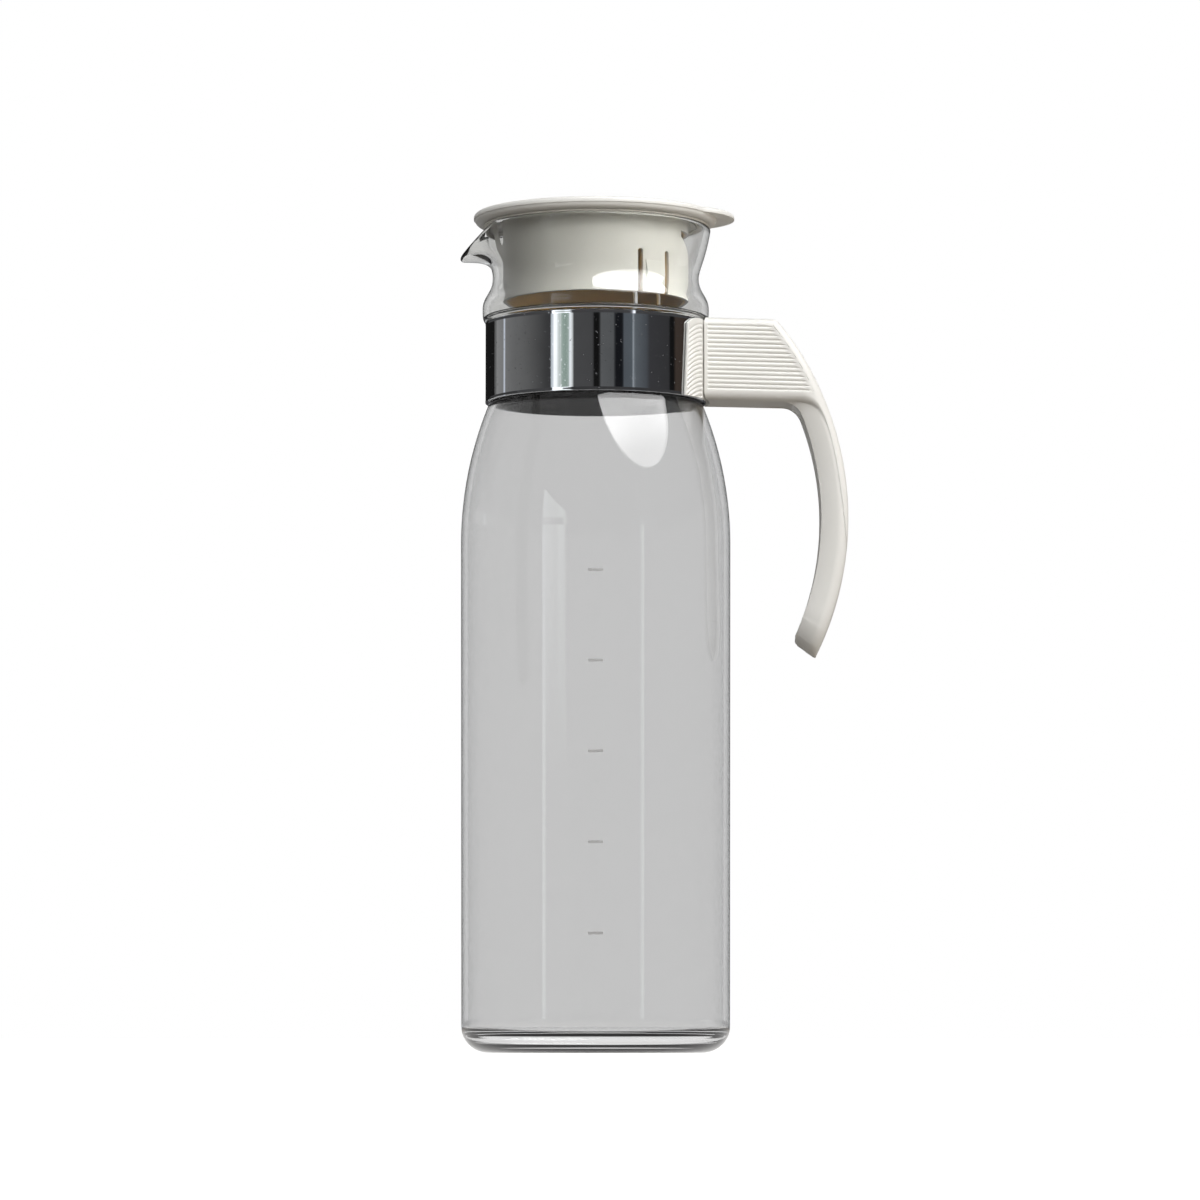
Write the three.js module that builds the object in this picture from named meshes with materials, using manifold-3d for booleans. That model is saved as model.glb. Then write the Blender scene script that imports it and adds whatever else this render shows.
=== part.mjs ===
// Fridge jug: a clear glass body with a pouring lip, a steel band round its neck that carries
// the handle, and a stoppered lid that turns on the rim and lifts off.
// Millimetres, +Z up. The origin is the centre of the flat base. +X runs to the handle and -X
// to the pouring lip.

import * as THREE from "three";
import { mergeVertices } from "three/addons/utils/BufferGeometryUtils.js";
import Module from "manifold-3d";

const wasm = await Module();
wasm.setup();

// Glass body
const bodyRadius = 46.5;
const footTaper = 0.5;
const glassWall = 2.2;
const footCorner = 9;
const floorThickness = 7;
const floorCorner = 2;
const straightHeight = 175;
const shoulderRise = 48.8;
const neckRadius = 36.8;
const bulgeOut = 2.4;
const bulgeRise = 5;
const waistIn = 1.1;
const waistRise = 10.6;
const rimFlare = 4.1;
const rimRise = 16.5;

// Handles of the wall's curves, as shares of their rise or of how far they step out
const wallCurve = {
  bulgeSpread: 0.9,
  bulgeFoot: 0.01,
  bulgeHead: 0.2,
  waistFoot: 0.38,
  waistHead: 0.52,
  rimFoot: 0.19,
  rimSpread: 0.61,
  rimHead: 0.42,
  lipSpread: 0.5,
};

// Pouring lip, pulled out of the rim
const spoutReach = 6;
const spoutDrop = 10.6;
const spoutHalfAngle = 30;

// Neck band and the soft strip under it
const bandHeight = 27.5;
const bandEndGap = 0.2;
const bandThickness = 0.6;
const linerThickness = 0.5;
const ringGap = 0.12;
const lugSpace = 4;
const lugInset = 5.75;
const lugLength = 15.5;

// Clamp screw, nut and washer
const screwRadius = 2;
const screwHeadRadius = 3.5;
const screwHeadHeight = 2.6;
const screwHeadEase = 0.7;
const screwSlotWidth = 1;
const screwSlotDepth = 1.2;
const washerRadius = 3.9;
const washerThickness = 0.8;
const nutFlats = 7;
const nutThickness = 3.2;
const screwGap = 0.2;
const clampReach = 8.5;

// Handle saddle
const saddleThickness = 0.9;
const saddleHalfAngle = 38;
const bossWall = 3;

// Handle block and grip
const blockWidth = 25.5;
const blockSideWall = 3.55;
const blockBackWall = 8.2;
const blockProud = 1.1;
const blockFall = 0.6;
const cornerRadius = 6;
const gripWidth = 22.5;
const gripThickness = 9.3;
const gripRadius = 106.6;
const gripDrop = 54;
const gripFillet = 7.5;
const gripEndAngle = -27;
const gripHeelAngle = -21.8;
const gripHeelLength = 6.4;
const gripHeelLean = 9;
const gripSideWall = 3;
const gripBackWall = 3.2;
const handleBevel = 1.6;
const gripEndSweep = 14;
const gripEndTurnIn = 10.6;
const blockEndAngle = 20;

// Strip that closes the hollow grip
const coverThickness = 1.6;
const coverLead = 4;
const coverEndInset = 0.9;

// Lid
const plateThickness = 3.8;
const plateOverhang = 2.5;
const plateBevel = 1.7;
const undercutRise = 1.9;
const undercutRun = 2.6;
const undercutInset = 0.4;
const tabReach = 5.9;
const tabHalfAngle = 28;
const skirtDepth = 26.7;
const skirtWall = 1.9;
const skirtClearance = 1.4;
const flangeWidth = 1.6;
const flangeThickness = 1.5;
const seatThickness = 0.7;
const seatWidth = 3.2;
const seatInset = 0.8;
const seatGap = 0.1;

// Pouring window and spring tongues of the stopper
const windowTopInset = 3.6;
const windowHeight = 10.6;
const windowShoulder = 2;
const windowHalfAngle = 25.5;
const tongueAngle = 52;
const tongueHalfAngle = 10;
const slitWidth = 1.9;
const slitHeight = 14.8;
const detentHeight = 10;
const detentLift = 1;
const detentCrest = 5;
const detentGap = 0.3;
const detentHalfAngle = 6.5;

// Shared fits
const fitGap = 0.2;
const overcut = 1;

// Facets
const turnSteps = 54;
const ringSteps = 72;
const boreSteps = 24;
const arcSteps = 5;
const bevelSteps = 3;
const bulgeSteps = 3;
const waistSteps = 5;
const wallSteps = 7;

// Heights up the jug
const neckBottom = straightHeight + shoulderRise;
const bandBottom = neckBottom + bandEndGap;
const bandTop = bandBottom + bandHeight;
const bandMiddle = (bandBottom + bandTop) / 2;
const neckTop = bandTop + bandEndGap;
const bulgeZ = neckTop + bulgeRise;
const waistZ = bulgeZ + waistRise;
const rimZ = waistZ + rimRise;

// Radii of the neck and what goes round it
const bulgeRadius = neckRadius + bulgeOut;
const waistRadius = neckRadius - waistIn;
const rimRadius = waistRadius + rimFlare;
const linerInner = neckRadius + ringGap;
const linerOuter = linerInner + linerThickness;
const bandInner = linerOuter + ringGap;
const bandOuter = bandInner + bandThickness;
const saddleInner = bandOuter + fitGap;
const saddleOuter = saddleInner + saddleThickness;

const radians = THREE.MathUtils.degToRad;
const point = (x, y) => new THREE.Vector2(x, y);

function arcPoints(centre, radius, from, to, steps) {
  const arc = new THREE.EllipseCurve(centre.x, centre.y, radius, radius, from, to, to < from);
  return arc.getPoints(steps);
}

// A merged copy of a geometry, without the empty triangles that a turned profile has at its axis
function mergedCopy(geometry) {
  const bare = new THREE.BufferGeometry();
  bare.setAttribute("position", geometry.attributes.position.clone());
  if (geometry.index) {
    bare.setIndex(geometry.index.clone());
  }
  const merged = mergeVertices(bare);
  const corners = merged.index.array;
  const kept = [];
  for (let i = 0; i < corners.length; i += 3) {
    const [a, b, c] = [corners[i], corners[i + 1], corners[i + 2]];
    if (a !== b && b !== c && c !== a) {
      kept.push(a, b, c);
    }
  }
  merged.setIndex(kept);
  return merged;
}

function solid(geometry) {
  const merged = mergedCopy(geometry);
  return new wasm.Manifold(
    new wasm.Mesh({
      numProp: 3,
      vertProperties: new Float32Array(merged.attributes.position.array),
      triVerts: new Uint32Array(merged.index.array),
    }),
  );
}

function surface(made) {
  const mesh = made.getMesh();
  const geometry = new THREE.BufferGeometry();
  geometry.setAttribute("position", new THREE.BufferAttribute(mesh.vertProperties.slice(), 3));
  geometry.setIndex(new THREE.BufferAttribute(mesh.triVerts.slice(), 1));
  geometry.computeVertexNormals();
  return geometry;
}

// A profile turned about Z. It may differ from one direction to the next, but not in its count
// of points.
function turned(profileAt, steps) {
  const count = profileAt(0).length;
  const geometry = new THREE.LatheGeometry(profileAt(0), steps);
  const place = geometry.attributes.position;
  for (let i = 0; i <= steps; i += 1) {
    const angle = ((i % steps) / steps) * 2 * Math.PI;
    const profile = profileAt(angle);
    for (let j = 0; j < count; j += 1) {
      const { x: radius, y: height } = profile[j];
      place.setXYZ(i * count + j, radius * Math.cos(angle), radius * Math.sin(angle), height);
    }
  }
  return mergedCopy(geometry);
}

// A ring of rectangular section
function ring(inner, outer, bottom, top, steps) {
  const profile = [
    point(inner, bottom),
    point(outer, bottom),
    point(outer, top),
    point(inner, top),
    point(inner, bottom),
  ];
  return turned(() => profile, steps);
}

function cylinder(radius, bottom, top, steps) {
  const profile = [point(0, bottom), point(radius, bottom), point(radius, top), point(0, top)];
  return turned(() => profile, steps);
}

function box(low, high) {
  const size = high.map((value, i) => value - low[i]);
  const geometry = new THREE.BoxGeometry(...size);
  geometry.translate(...low.map((value, i) => value + size[i] / 2));
  return geometry;
}

// An XZ outline given a width along Y, centred on Y = 0, with its edges eased
function slab(outline, width, bevel) {
  const depth = width - 2 * bevel;
  const geometry = new THREE.ExtrudeGeometry(outline, {
    depth,
    bevelEnabled: bevel > 0,
    bevelThickness: bevel,
    bevelSize: bevel,
    bevelOffset: -bevel,
    bevelSegments: bevelSteps,
    curveSegments: arcSteps,
  });
  geometry.translate(0, 0, -depth / 2);
  geometry.rotateX(Math.PI / 2);
  return geometry;
}

// A solid turned about Z laid along +Y through the clamp's axis
function alongClamp(geometry) {
  geometry.rotateX(-Math.PI / 2);
  geometry.translate(clampX, 0, bandMiddle);
  return geometry;
}

function piece(name, geometry, material) {
  const mesh = new THREE.Mesh(geometry, material);
  mesh.name = name;
  return mesh;
}

// Glass body

const footRadius = bodyRadius - footTaper;
const shoulderDrop = bodyRadius - neckRadius;
const shoulderRadius = (shoulderRise ** 2 + shoulderDrop ** 2) / (2 * shoulderDrop);
const shoulderCentre = point(bodyRadius - shoulderRadius, straightHeight);

// Outside of the wall from the band to the rim. pull is 0 round the plain rim and 1 at the
// middle of the pouring lip.
function upperWall(pull) {
  const toBulge = new THREE.CubicBezierCurve(
    point(neckRadius, neckTop),
    point(neckRadius + wallCurve.bulgeSpread * bulgeOut, neckTop + wallCurve.bulgeFoot * bulgeRise),
    point(bulgeRadius, neckTop + wallCurve.bulgeHead * bulgeRise),
    point(bulgeRadius, bulgeZ),
  );
  const toWaist = new THREE.CubicBezierCurve(
    point(bulgeRadius, bulgeZ),
    point(bulgeRadius, bulgeZ + wallCurve.waistFoot * waistRise),
    point(waistRadius, bulgeZ + wallCurve.waistHead * waistRise),
    point(waistRadius, waistZ),
  );
  const rim = point(rimRadius, rimZ);
  const tip = point(rimRadius + spoutReach, rimZ - spoutDrop);
  const plainRise = point(waistRadius, waistZ + wallCurve.rimFoot * rimRise);
  const plainBend = point(
    waistRadius + wallCurve.rimSpread * rimFlare,
    waistZ + wallCurve.rimHead * rimRise,
  );
  const lipRise = point(waistRadius, tip.y);
  const lipBend = point(waistRadius + wallCurve.lipSpread * rimFlare, tip.y);
  const toRim = new THREE.CubicBezierCurve(
    point(waistRadius, waistZ),
    plainRise.lerp(lipRise, pull),
    plainBend.lerp(lipBend, pull),
    rim.lerp(tip, pull),
  );
  return [
    [toBulge, bulgeSteps],
    [toWaist, waistSteps],
    [toRim, wallSteps],
  ];
}

function glassProfile(angle) {
  const fromLip = Math.abs(Math.PI - angle) / radians(spoutHalfAngle);
  const pull = fromLip < 1 ? Math.cos((fromLip * Math.PI) / 2) ** 2 : 0;
  const outer = [];
  const inner = [];
  for (const [curve, steps] of upperWall(pull)) {
    for (let i = outer.length ? 1 : 0; i <= steps; i += 1) {
      const place = curve.getPoint(i / steps);
      const along = curve.getTangent(i / steps);
      outer.push(place);
      inner.unshift(point(place.x - glassWall * along.y, place.y + glassWall * along.x));
    }
  }
  const lipStart = outer.at(-1);
  const lipEnd = inner[0];
  const lipCentre = lipStart.clone().lerp(lipEnd, 0.5);
  const lipAngle = lipStart.clone().sub(lipCentre).angle();
  const bead = arcPoints(lipCentre, glassWall / 2, lipAngle, lipAngle + Math.PI, arcSteps).slice(1, -1);

  const shoulderEnd = Math.asin(shoulderRise / shoulderRadius);
  const innerShoulder = shoulderRadius - glassWall;
  const innerEnd = Math.acos((neckRadius - glassWall - shoulderCentre.x) / innerShoulder);
  const footCentre = point(footRadius - footCorner, footCorner);
  const floorCentre = point(footRadius - glassWall - floorCorner, floorThickness + floorCorner);
  return [
    point(0, 0),
    ...arcPoints(footCentre, footCorner, -Math.PI / 2, 0, arcSteps),
    ...arcPoints(shoulderCentre, shoulderRadius, 0, shoulderEnd, wallSteps),
    ...outer,
    ...bead,
    ...inner,
    point(neckRadius - glassWall, neckTop),
    ...arcPoints(shoulderCentre, innerShoulder, innerEnd, 0, wallSteps),
    ...arcPoints(floorCentre, floorCorner, 0, -Math.PI / 2, arcSteps),
    point(0, floorThickness),
  ];
}

const rimTop = Math.max(...glassProfile(0).map((place) => place.y));

function glassBody() {
  return turned(glassProfile, turnSteps);
}

// Neck band, its soft strip and the clamp

const lugHeight = bandHeight - 2 * lugInset;
const lugOuter = lugSpace / 2 + bandThickness;
const lugEnd = bandOuter + lugLength;
const clampX = saddleOuter + clampReach;
const bossHalfWidth = blockWidth / 2 - blockSideWall - fitGap;
const bossHeight = lugHeight + 2 * bossWall;
const bossEnd = lugEnd + bossWall;

// A bore for the screw through everything that it clamps
function clampBore() {
  return solid(alongClamp(cylinder(screwRadius + screwGap, -blockWidth, blockWidth, boreSteps)));
}

// A ring that is open towards +X, where the lugs turn out
function splitRing(inner, outer) {
  const openAngle = Math.asin(lugSpace / 2 / inner);
  const outline = new THREE.Shape();
  outline.absarc(0, 0, outer, openAngle, 2 * Math.PI - openAngle, false);
  outline.absarc(0, 0, inner, 2 * Math.PI - openAngle, openAngle, true);
  outline.closePath();
  const geometry = new THREE.ExtrudeGeometry(outline, {
    depth: bandHeight,
    bevelEnabled: false,
    curveSegments: ringSteps / 2,
  });
  geometry.translate(0, 0, bandBottom);
  return geometry;
}

function bandLiner() {
  return mergedCopy(splitRing(linerInner, linerOuter));
}

function neckBand() {
  let band = solid(splitRing(bandInner, bandOuter));
  const lugStart = (bandInner + bandOuter) / 2;
  for (const side of [-1, 1]) {
    const near = Math.min(side * (lugSpace / 2), side * lugOuter);
    const lug = box(
      [lugStart, near, bandMiddle - lugHeight / 2],
      [lugEnd, near + bandThickness, bandMiddle + lugHeight / 2],
    );
    band = band.add(solid(lug));
  }
  return surface(band.subtract(clampBore()));
}

const headPocketDepth = washerThickness + screwHeadHeight + fitGap;
const washerY = bossHalfWidth - headPocketDepth;
const headY = washerY + washerThickness;
const nutPocketDepth = nutThickness + fitGap;
const nutY = -bossHalfWidth + fitGap / 2;

function clampScrew() {
  const tip = nutY + screwGap;
  const headTop = headY + screwHeadHeight;
  const profile = [
    point(0, tip),
    point(screwRadius, tip),
    point(screwRadius, headY),
    point(screwHeadRadius, headY),
    point(screwHeadRadius, headTop - screwHeadEase),
    point(screwHeadRadius - screwHeadEase, headTop),
    point(0, headTop),
  ];
  const screw = solid(alongClamp(turned(() => profile, boreSteps)));
  const slotHalf = screwHeadRadius + overcut;
  const slot = box(
    [clampX - screwSlotWidth / 2, headTop - screwSlotDepth, bandMiddle - slotHalf],
    [clampX + screwSlotWidth / 2, headTop + overcut, bandMiddle + slotHalf],
  );
  return surface(screw.subtract(solid(slot)));
}

function clampWasher() {
  return alongClamp(ring(screwRadius + screwGap, washerRadius, washerY, headY, boreSteps));
}

// A hexagonal prism with two flats level
function hexagon(flats, bottom, top) {
  const corner = flats / Math.sqrt(3);
  return alongClamp(cylinder(corner, bottom, top, 6));
}

function clampNut() {
  const body = solid(hexagon(nutFlats, nutY, nutY + nutThickness));
  return surface(body.subtract(clampBore()));
}

// Handle saddle: wings that hug the band, and a boss that carries the clamp into the block

function handleSaddle() {
  const half = radians(saddleHalfAngle);
  const outline = new THREE.Shape();
  outline.absarc(0, 0, saddleOuter, -half, half, false);
  outline.absarc(0, 0, saddleInner, half, -half, true);
  outline.closePath();
  const wings = new THREE.ExtrudeGeometry(outline, {
    depth: bandHeight,
    bevelEnabled: false,
    curveSegments: 2 * arcSteps,
  });
  wings.translate(0, 0, bandBottom);
  const boss = box(
    [saddleInner + saddleThickness / 2, -bossHalfWidth, bandMiddle - bossHeight / 2],
    [bossEnd, bossHalfWidth, bandMiddle + bossHeight / 2],
  );
  const slotHalf = lugOuter + fitGap;
  const slot = box(
    [bandInner, -slotHalf, bandMiddle - lugHeight / 2 - fitGap],
    [lugEnd + fitGap, slotHalf, bandMiddle + lugHeight / 2 + fitGap],
  );
  const pocketFlats = nutFlats + 2 * fitGap;
  const pocket = hexagon(pocketFlats, -bossHalfWidth - overcut, nutPocketDepth - bossHalfWidth);
  const headPocket = alongClamp(
    cylinder(washerRadius + fitGap, washerY, bossHalfWidth + overcut, boreSteps),
  );
  const saddle = solid(wings)
    .add(solid(boss))
    .subtract(solid(slot))
    .subtract(solid(pocket))
    .subtract(solid(headPocket))
    .subtract(clampBore());
  return surface(saddle);
}

// Handle shell. Its outline lies in the XZ plane.

const blockTop = bandTop + blockProud;
const blockUnder = bandBottom - blockFall;
const gripInner = gripRadius - gripThickness;
const bossCornerRise = gripDrop + bossHeight / 2;
const gripCentre = point(
  bossEnd + blockBackWall - Math.sqrt(gripRadius ** 2 - bossCornerRise ** 2),
  bandMiddle - gripDrop,
);
const gripEnd = radians(gripEndAngle);
const gripHeel = radians(gripHeelAngle);

// Centre of a round corner that is tangent to a level line from below and to an arc about the
// grip's centre from inside
function cornerCentre(level, rounding, arcRadius) {
  const height = level - rounding;
  const reach = arcRadius - rounding;
  return point(gripCentre.x + Math.sqrt(reach ** 2 - (height - gripCentre.y) ** 2), height);
}

const filletCentre = cornerCentre(blockUnder, gripFillet, gripInner);

// The hand side of the handle, from the block's underside down to the start of the grip's heel,
// moved into the plastic by an inset
function handSide(startX, startZ, inset, endAngle) {
  const turn = filletCentre.clone().sub(gripCentre).angle();
  return [
    point(startX, startZ + inset),
    ...arcPoints(filletCentre, gripFillet + inset, Math.PI / 2, turn, arcSteps),
    ...arcPoints(gripCentre, gripInner + inset, turn, endAngle, 3 * arcSteps).slice(1),
  ];
}

// The back of the handle, from the top of the block down its round back to an angle
function backSide(endAngle, steps) {
  const centre = cornerCentre(blockTop - blockFall, cornerRadius, gripRadius);
  const turn = centre.clone().sub(gripCentre).angle();
  return [
    ...arcPoints(centre, cornerRadius, Math.PI / 2, turn, arcSteps),
    ...arcPoints(gripCentre, gripRadius, turn, endAngle, steps).slice(1),
  ];
}

// A strip of constant depth along the hand side
function handStrip(startX, near, far, endAngle) {
  return new THREE.Shape([
    ...handSide(startX, blockUnder, near, endAngle),
    ...handSide(startX, blockUnder, far, endAngle).reverse(),
  ]);
}

const shellStart = bandInner;
const coverStart = filletCentre.x - coverLead;
const coverEnd = gripHeel + coverEndInset / gripInner;
const channelDepth = gripThickness - gripBackWall;
const channelWidth = gripWidth - 2 * gripSideWall;

// The space that the handle keeps to when its grip is seen along its end: as wide as the grip,
// with both sides turned in at the lower end
function gripEndSpace(end) {
  const far = 2 * gripRadius;
  const half = gripWidth / 2;
  const turnedIn = Array.from({ length: 3 * arcSteps + 1 }, (_, i) => {
    const turn = ((i / (3 * arcSteps)) * Math.PI) / 2;
    const inward = gripEndTurnIn * (1 - Math.cos(turn));
    return point(half - inward, gripEndSweep * (1 - Math.sin(turn)));
  });
  const side = [point(far, far), point(far, gripEndSweep), ...turnedIn];
  side.push(point(turnedIn.at(-1).x, -gripThickness));
  const mirrored = side.map((place) => point(-place.x, place.y)).reverse();
  const geometry = new THREE.ExtrudeGeometry(new THREE.Shape([...side, ...mirrored]), {
    depth: 2 * far,
    bevelEnabled: false,
  });
  geometry.translate(0, 0, -far);
  geometry.rotateX(Math.PI / 2);
  geometry.rotateZ(Math.PI / 2);
  geometry.rotateY(-(gripHeel + gripEnd) / 2);
  geometry.translate(end.x, 0, end.y);
  return geometry;
}

function handleShell() {
  const hand = handSide(shellStart, bandBottom, 0, gripHeel);
  const lean = radians(gripHeelLean);
  const heel = hand.at(-1).clone();
  heel.sub(point(gripHeelLength * Math.sin(lean), gripHeelLength * Math.cos(lean)));
  const endMiddle = backSide(gripEnd, 1).at(-1).lerp(heel, 0.5);
  const gripOutline = new THREE.Shape([
    point(shellStart, blockTop),
    ...backSide(gripEnd, 4 * arcSteps),
    heel,
    ...hand.reverse(),
  ]);
  const blockOutline = new THREE.Shape([
    point(shellStart, blockTop),
    ...backSide(radians(blockEndAngle), arcSteps),
    point(filletCentre.x + gripFillet, blockUnder),
    point(shellStart, bandBottom),
  ]);
  const seat = cylinder(saddleOuter + fitGap, 0, rimZ, ringSteps);
  const cavityHalf = bossHalfWidth + fitGap;
  const cavity = box(
    [shellStart - overcut, -cavityHalf, bandMiddle - bossHeight / 2 - fitGap],
    [bossEnd + fitGap, cavityHalf, bandMiddle + bossHeight / 2 + fitGap],
  );
  const channel = slab(
    handStrip(coverStart, -overcut, channelDepth, coverEnd),
    channelWidth,
    0,
  );
  const shell = solid(slab(gripOutline, gripWidth, handleBevel))
    .add(solid(slab(blockOutline, blockWidth, handleBevel)))
    .intersect(solid(gripEndSpace(endMiddle)))
    .subtract(solid(seat))
    .subtract(solid(cavity))
    .subtract(solid(channel));
  return surface(shell);
}

function handleInnerCover() {
  const lead = coverStart + fitGap;
  const outline = handStrip(lead, 0, coverThickness, coverEnd + fitGap / gripInner);
  return mergedCopy(slab(outline, channelWidth - 2 * fitGap, 0));
}

// Lid

const plateBottom = rimTop + seatGap + seatThickness + seatGap;
const plateRadius = rimRadius + plateOverhang;
const waistInner = waistRadius - glassWall;
const skirtOuter = waistInner - skirtClearance;
const skirtInner = skirtOuter - skirtWall;
const skirtBottom = plateBottom - skirtDepth;
const flangeRadius = skirtOuter + flangeWidth;
const recessDepth = flangeThickness + fitGap;
const seatOuter = rimRadius - seatInset;

function lidPlate() {
  const turn = radians(tabHalfAngle);
  const rootX = plateRadius * Math.cos(turn);
  const rootY = plateRadius * Math.sin(turn);
  const tabDepth = plateRadius + tabReach - rootX;
  const tabRadius = (tabDepth ** 2 + rootY ** 2) / (2 * tabDepth);
  const tabCentre = point(plateRadius + tabReach - tabRadius, 0);
  const tabTurn = Math.atan2(rootY, rootX - tabCentre.x);
  const rim = arcPoints(point(0, 0), plateRadius, turn, 2 * Math.PI - turn, turnSteps);
  const tab = arcPoints(tabCentre, tabRadius, -tabTurn, tabTurn, 3 * arcSteps);
  const outline = new THREE.Shape([...rim, ...tab.slice(1, -1)]);
  const depth = plateThickness - 2 * plateBevel;
  const geometry = new THREE.ExtrudeGeometry(outline, {
    depth,
    bevelEnabled: true,
    bevelThickness: plateBevel,
    bevelSize: plateBevel,
    bevelOffset: -plateBevel,
    bevelSegments: bevelSteps,
  });
  geometry.translate(0, 0, plateBottom + plateBevel);
  const recess = cylinder(
    flangeRadius + fitGap,
    plateBottom - overcut,
    plateBottom + recessDepth,
    ringSteps,
  );
  const start = seatOuter + undercutInset;
  const end = plateRadius + 2 * tabReach;
  const undercut = [
    point(start, plateBottom - overcut),
    point(end, plateBottom - overcut),
    point(end, plateBottom + undercutRise),
    point(start + undercutRun, plateBottom + undercutRise),
    point(start, plateBottom),
    point(start, plateBottom - overcut),
  ];
  return surface(
    solid(geometry)
      .subtract(solid(recess))
      .subtract(solid(turned(() => undercut, ringSteps))),
  );
}

function lidSeatRing() {
  const outer = seatOuter;
  const top = plateBottom - seatGap;
  return ring(outer - seatWidth, outer, top - seatThickness, top, ringSteps);
}

// The pouring window: a notch through the skirt towards +X, wide at its top and narrowing down
function windowCut() {
  const halfWidth = skirtOuter * Math.sin(radians(windowHalfAngle));
  const top = plateBottom - windowTopInset;
  const outline = new THREE.Shape([
    point(-halfWidth, top),
    point(-halfWidth, top - windowShoulder),
    point(0, top - windowHeight),
    point(halfWidth, top - windowShoulder),
    point(halfWidth, top),
  ]);
  const depth = skirtOuter + overcut;
  const geometry = new THREE.ExtrudeGeometry(outline, { depth, bevelEnabled: false });
  geometry.rotateX(Math.PI / 2);
  geometry.rotateZ(Math.PI / 2);
  return geometry;
}

// A wedge on a tongue's outside, with a flat crest whose ends just pass the waist of the glass
function detent(angle) {
  const halfWidth = skirtOuter * Math.sin(radians(detentHalfAngle));
  const root = skirtOuter - skirtWall / 2;
  const crest = Math.sqrt((waistInner - detentGap) ** 2 - halfWidth ** 2);
  const bottom = skirtBottom + detentLift;
  const outline = new THREE.Shape([
    point(root, bottom),
    point(skirtOuter, bottom),
    point(crest, bottom + detentCrest),
    point(skirtOuter, bottom + detentHeight),
    point(root, bottom + detentHeight),
  ]);
  const geometry = slab(outline, 2 * halfWidth, 0);
  geometry.rotateZ(angle);
  return geometry;
}

function slit(angle) {
  const geometry = box(
    [skirtInner - overcut, -slitWidth / 2, skirtBottom - overcut],
    [skirtOuter + overcut, slitWidth / 2, skirtBottom + slitHeight],
  );
  geometry.rotateZ(angle);
  return geometry;
}

function lidStopper() {
  const top = plateBottom + flangeThickness;
  const profile = [
    point(skirtInner, skirtBottom),
    point(skirtOuter, skirtBottom),
    point(skirtOuter, plateBottom),
    point(flangeRadius, plateBottom),
    point(flangeRadius, top),
    point(skirtInner, top),
    point(skirtInner, skirtBottom),
  ];
  let stopper = solid(turned(() => profile, ringSteps)).subtract(solid(windowCut()));
  for (const side of [-1, 1]) {
    const middle = side * radians(tongueAngle);
    const swing = radians(tongueHalfAngle);
    stopper = stopper
      .add(solid(detent(middle)))
      .subtract(solid(slit(middle - swing)))
      .subtract(solid(slit(middle + swing)));
  }
  return surface(stopper);
}

// Assembly

const glass = new THREE.MeshStandardMaterial({
  color: 0xd9dcdc,
  roughness: 0.03,
  transparent: true,
  opacity: 0.35,
});
const polishedSteel = new THREE.MeshStandardMaterial({ color: 0x9a9c9e, roughness: 0.08, metalness: 1 });
const zincSteel = new THREE.MeshStandardMaterial({ color: 0xa9aaa8, roughness: 0.35, metalness: 1 });
const softStrip = new THREE.MeshStandardMaterial({ color: 0x2b2c2e, roughness: 0.4 });
const softRing = new THREE.MeshStandardMaterial({ color: 0xe9e6dd, roughness: 0.6 });
const warmWhite = () => new THREE.MeshStandardMaterial({ color: 0xe8e5de, roughness: 0.4 });

const neckAssembly = new THREE.Group();
neckAssembly.add(
  piece("band_liner", bandLiner(), softStrip),
  piece("neck_band", neckBand(), polishedSteel),
  piece("clamp_screw", clampScrew(), zincSteel),
  piece("clamp_washer", clampWasher(), zincSteel.clone()),
  piece("clamp_nut", clampNut(), zincSteel.clone()),
);

const handle = new THREE.Group();
handle.add(
  piece("handle_saddle", handleSaddle(), warmWhite()),
  piece("handle_shell", handleShell(), warmWhite()),
  piece("handle_inner_cover", handleInnerCover(), warmWhite()),
);

const lid = new THREE.Group();
lid.add(
  piece("lid_plate", lidPlate(), warmWhite()),
  piece("lid_stopper", lidStopper(), warmWhite()),
  piece("lid_seat_ring", lidSeatRing(), softRing),
);

const jug = new THREE.Group();
jug.add(piece("glass_body", glassBody(), glass), neckAssembly, handle, lid);

export default jug;
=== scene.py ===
"""A glass fridge jug with a clamped handle and a stoppered lid, dressed over its packed solids.

The pieces are in metres, in the frame of the solids: +Z up, +X towards the handle.
"""

import math

import bmesh
import bpy
from mathutils import Matrix, Vector
from mathutils.geometry import interpolate_bezier


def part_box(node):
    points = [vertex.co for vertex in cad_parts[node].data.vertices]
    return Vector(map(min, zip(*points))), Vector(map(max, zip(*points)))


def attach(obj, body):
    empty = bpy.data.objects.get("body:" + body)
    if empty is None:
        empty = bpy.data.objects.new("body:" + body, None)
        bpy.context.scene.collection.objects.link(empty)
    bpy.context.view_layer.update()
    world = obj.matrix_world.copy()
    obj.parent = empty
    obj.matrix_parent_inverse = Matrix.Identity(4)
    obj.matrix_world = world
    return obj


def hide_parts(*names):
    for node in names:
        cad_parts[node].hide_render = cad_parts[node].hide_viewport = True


bl_info = {
    "name": "Fridge Jug",
    "version": (1, 0, 0),
    "blender": (4, 5, 0),
    "location": "View3D > Sidebar > Jug",
    "description": "Builds a glass fridge jug with a clamped handle and a stoppered lid",
    "category": "Add Mesh",
}

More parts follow.
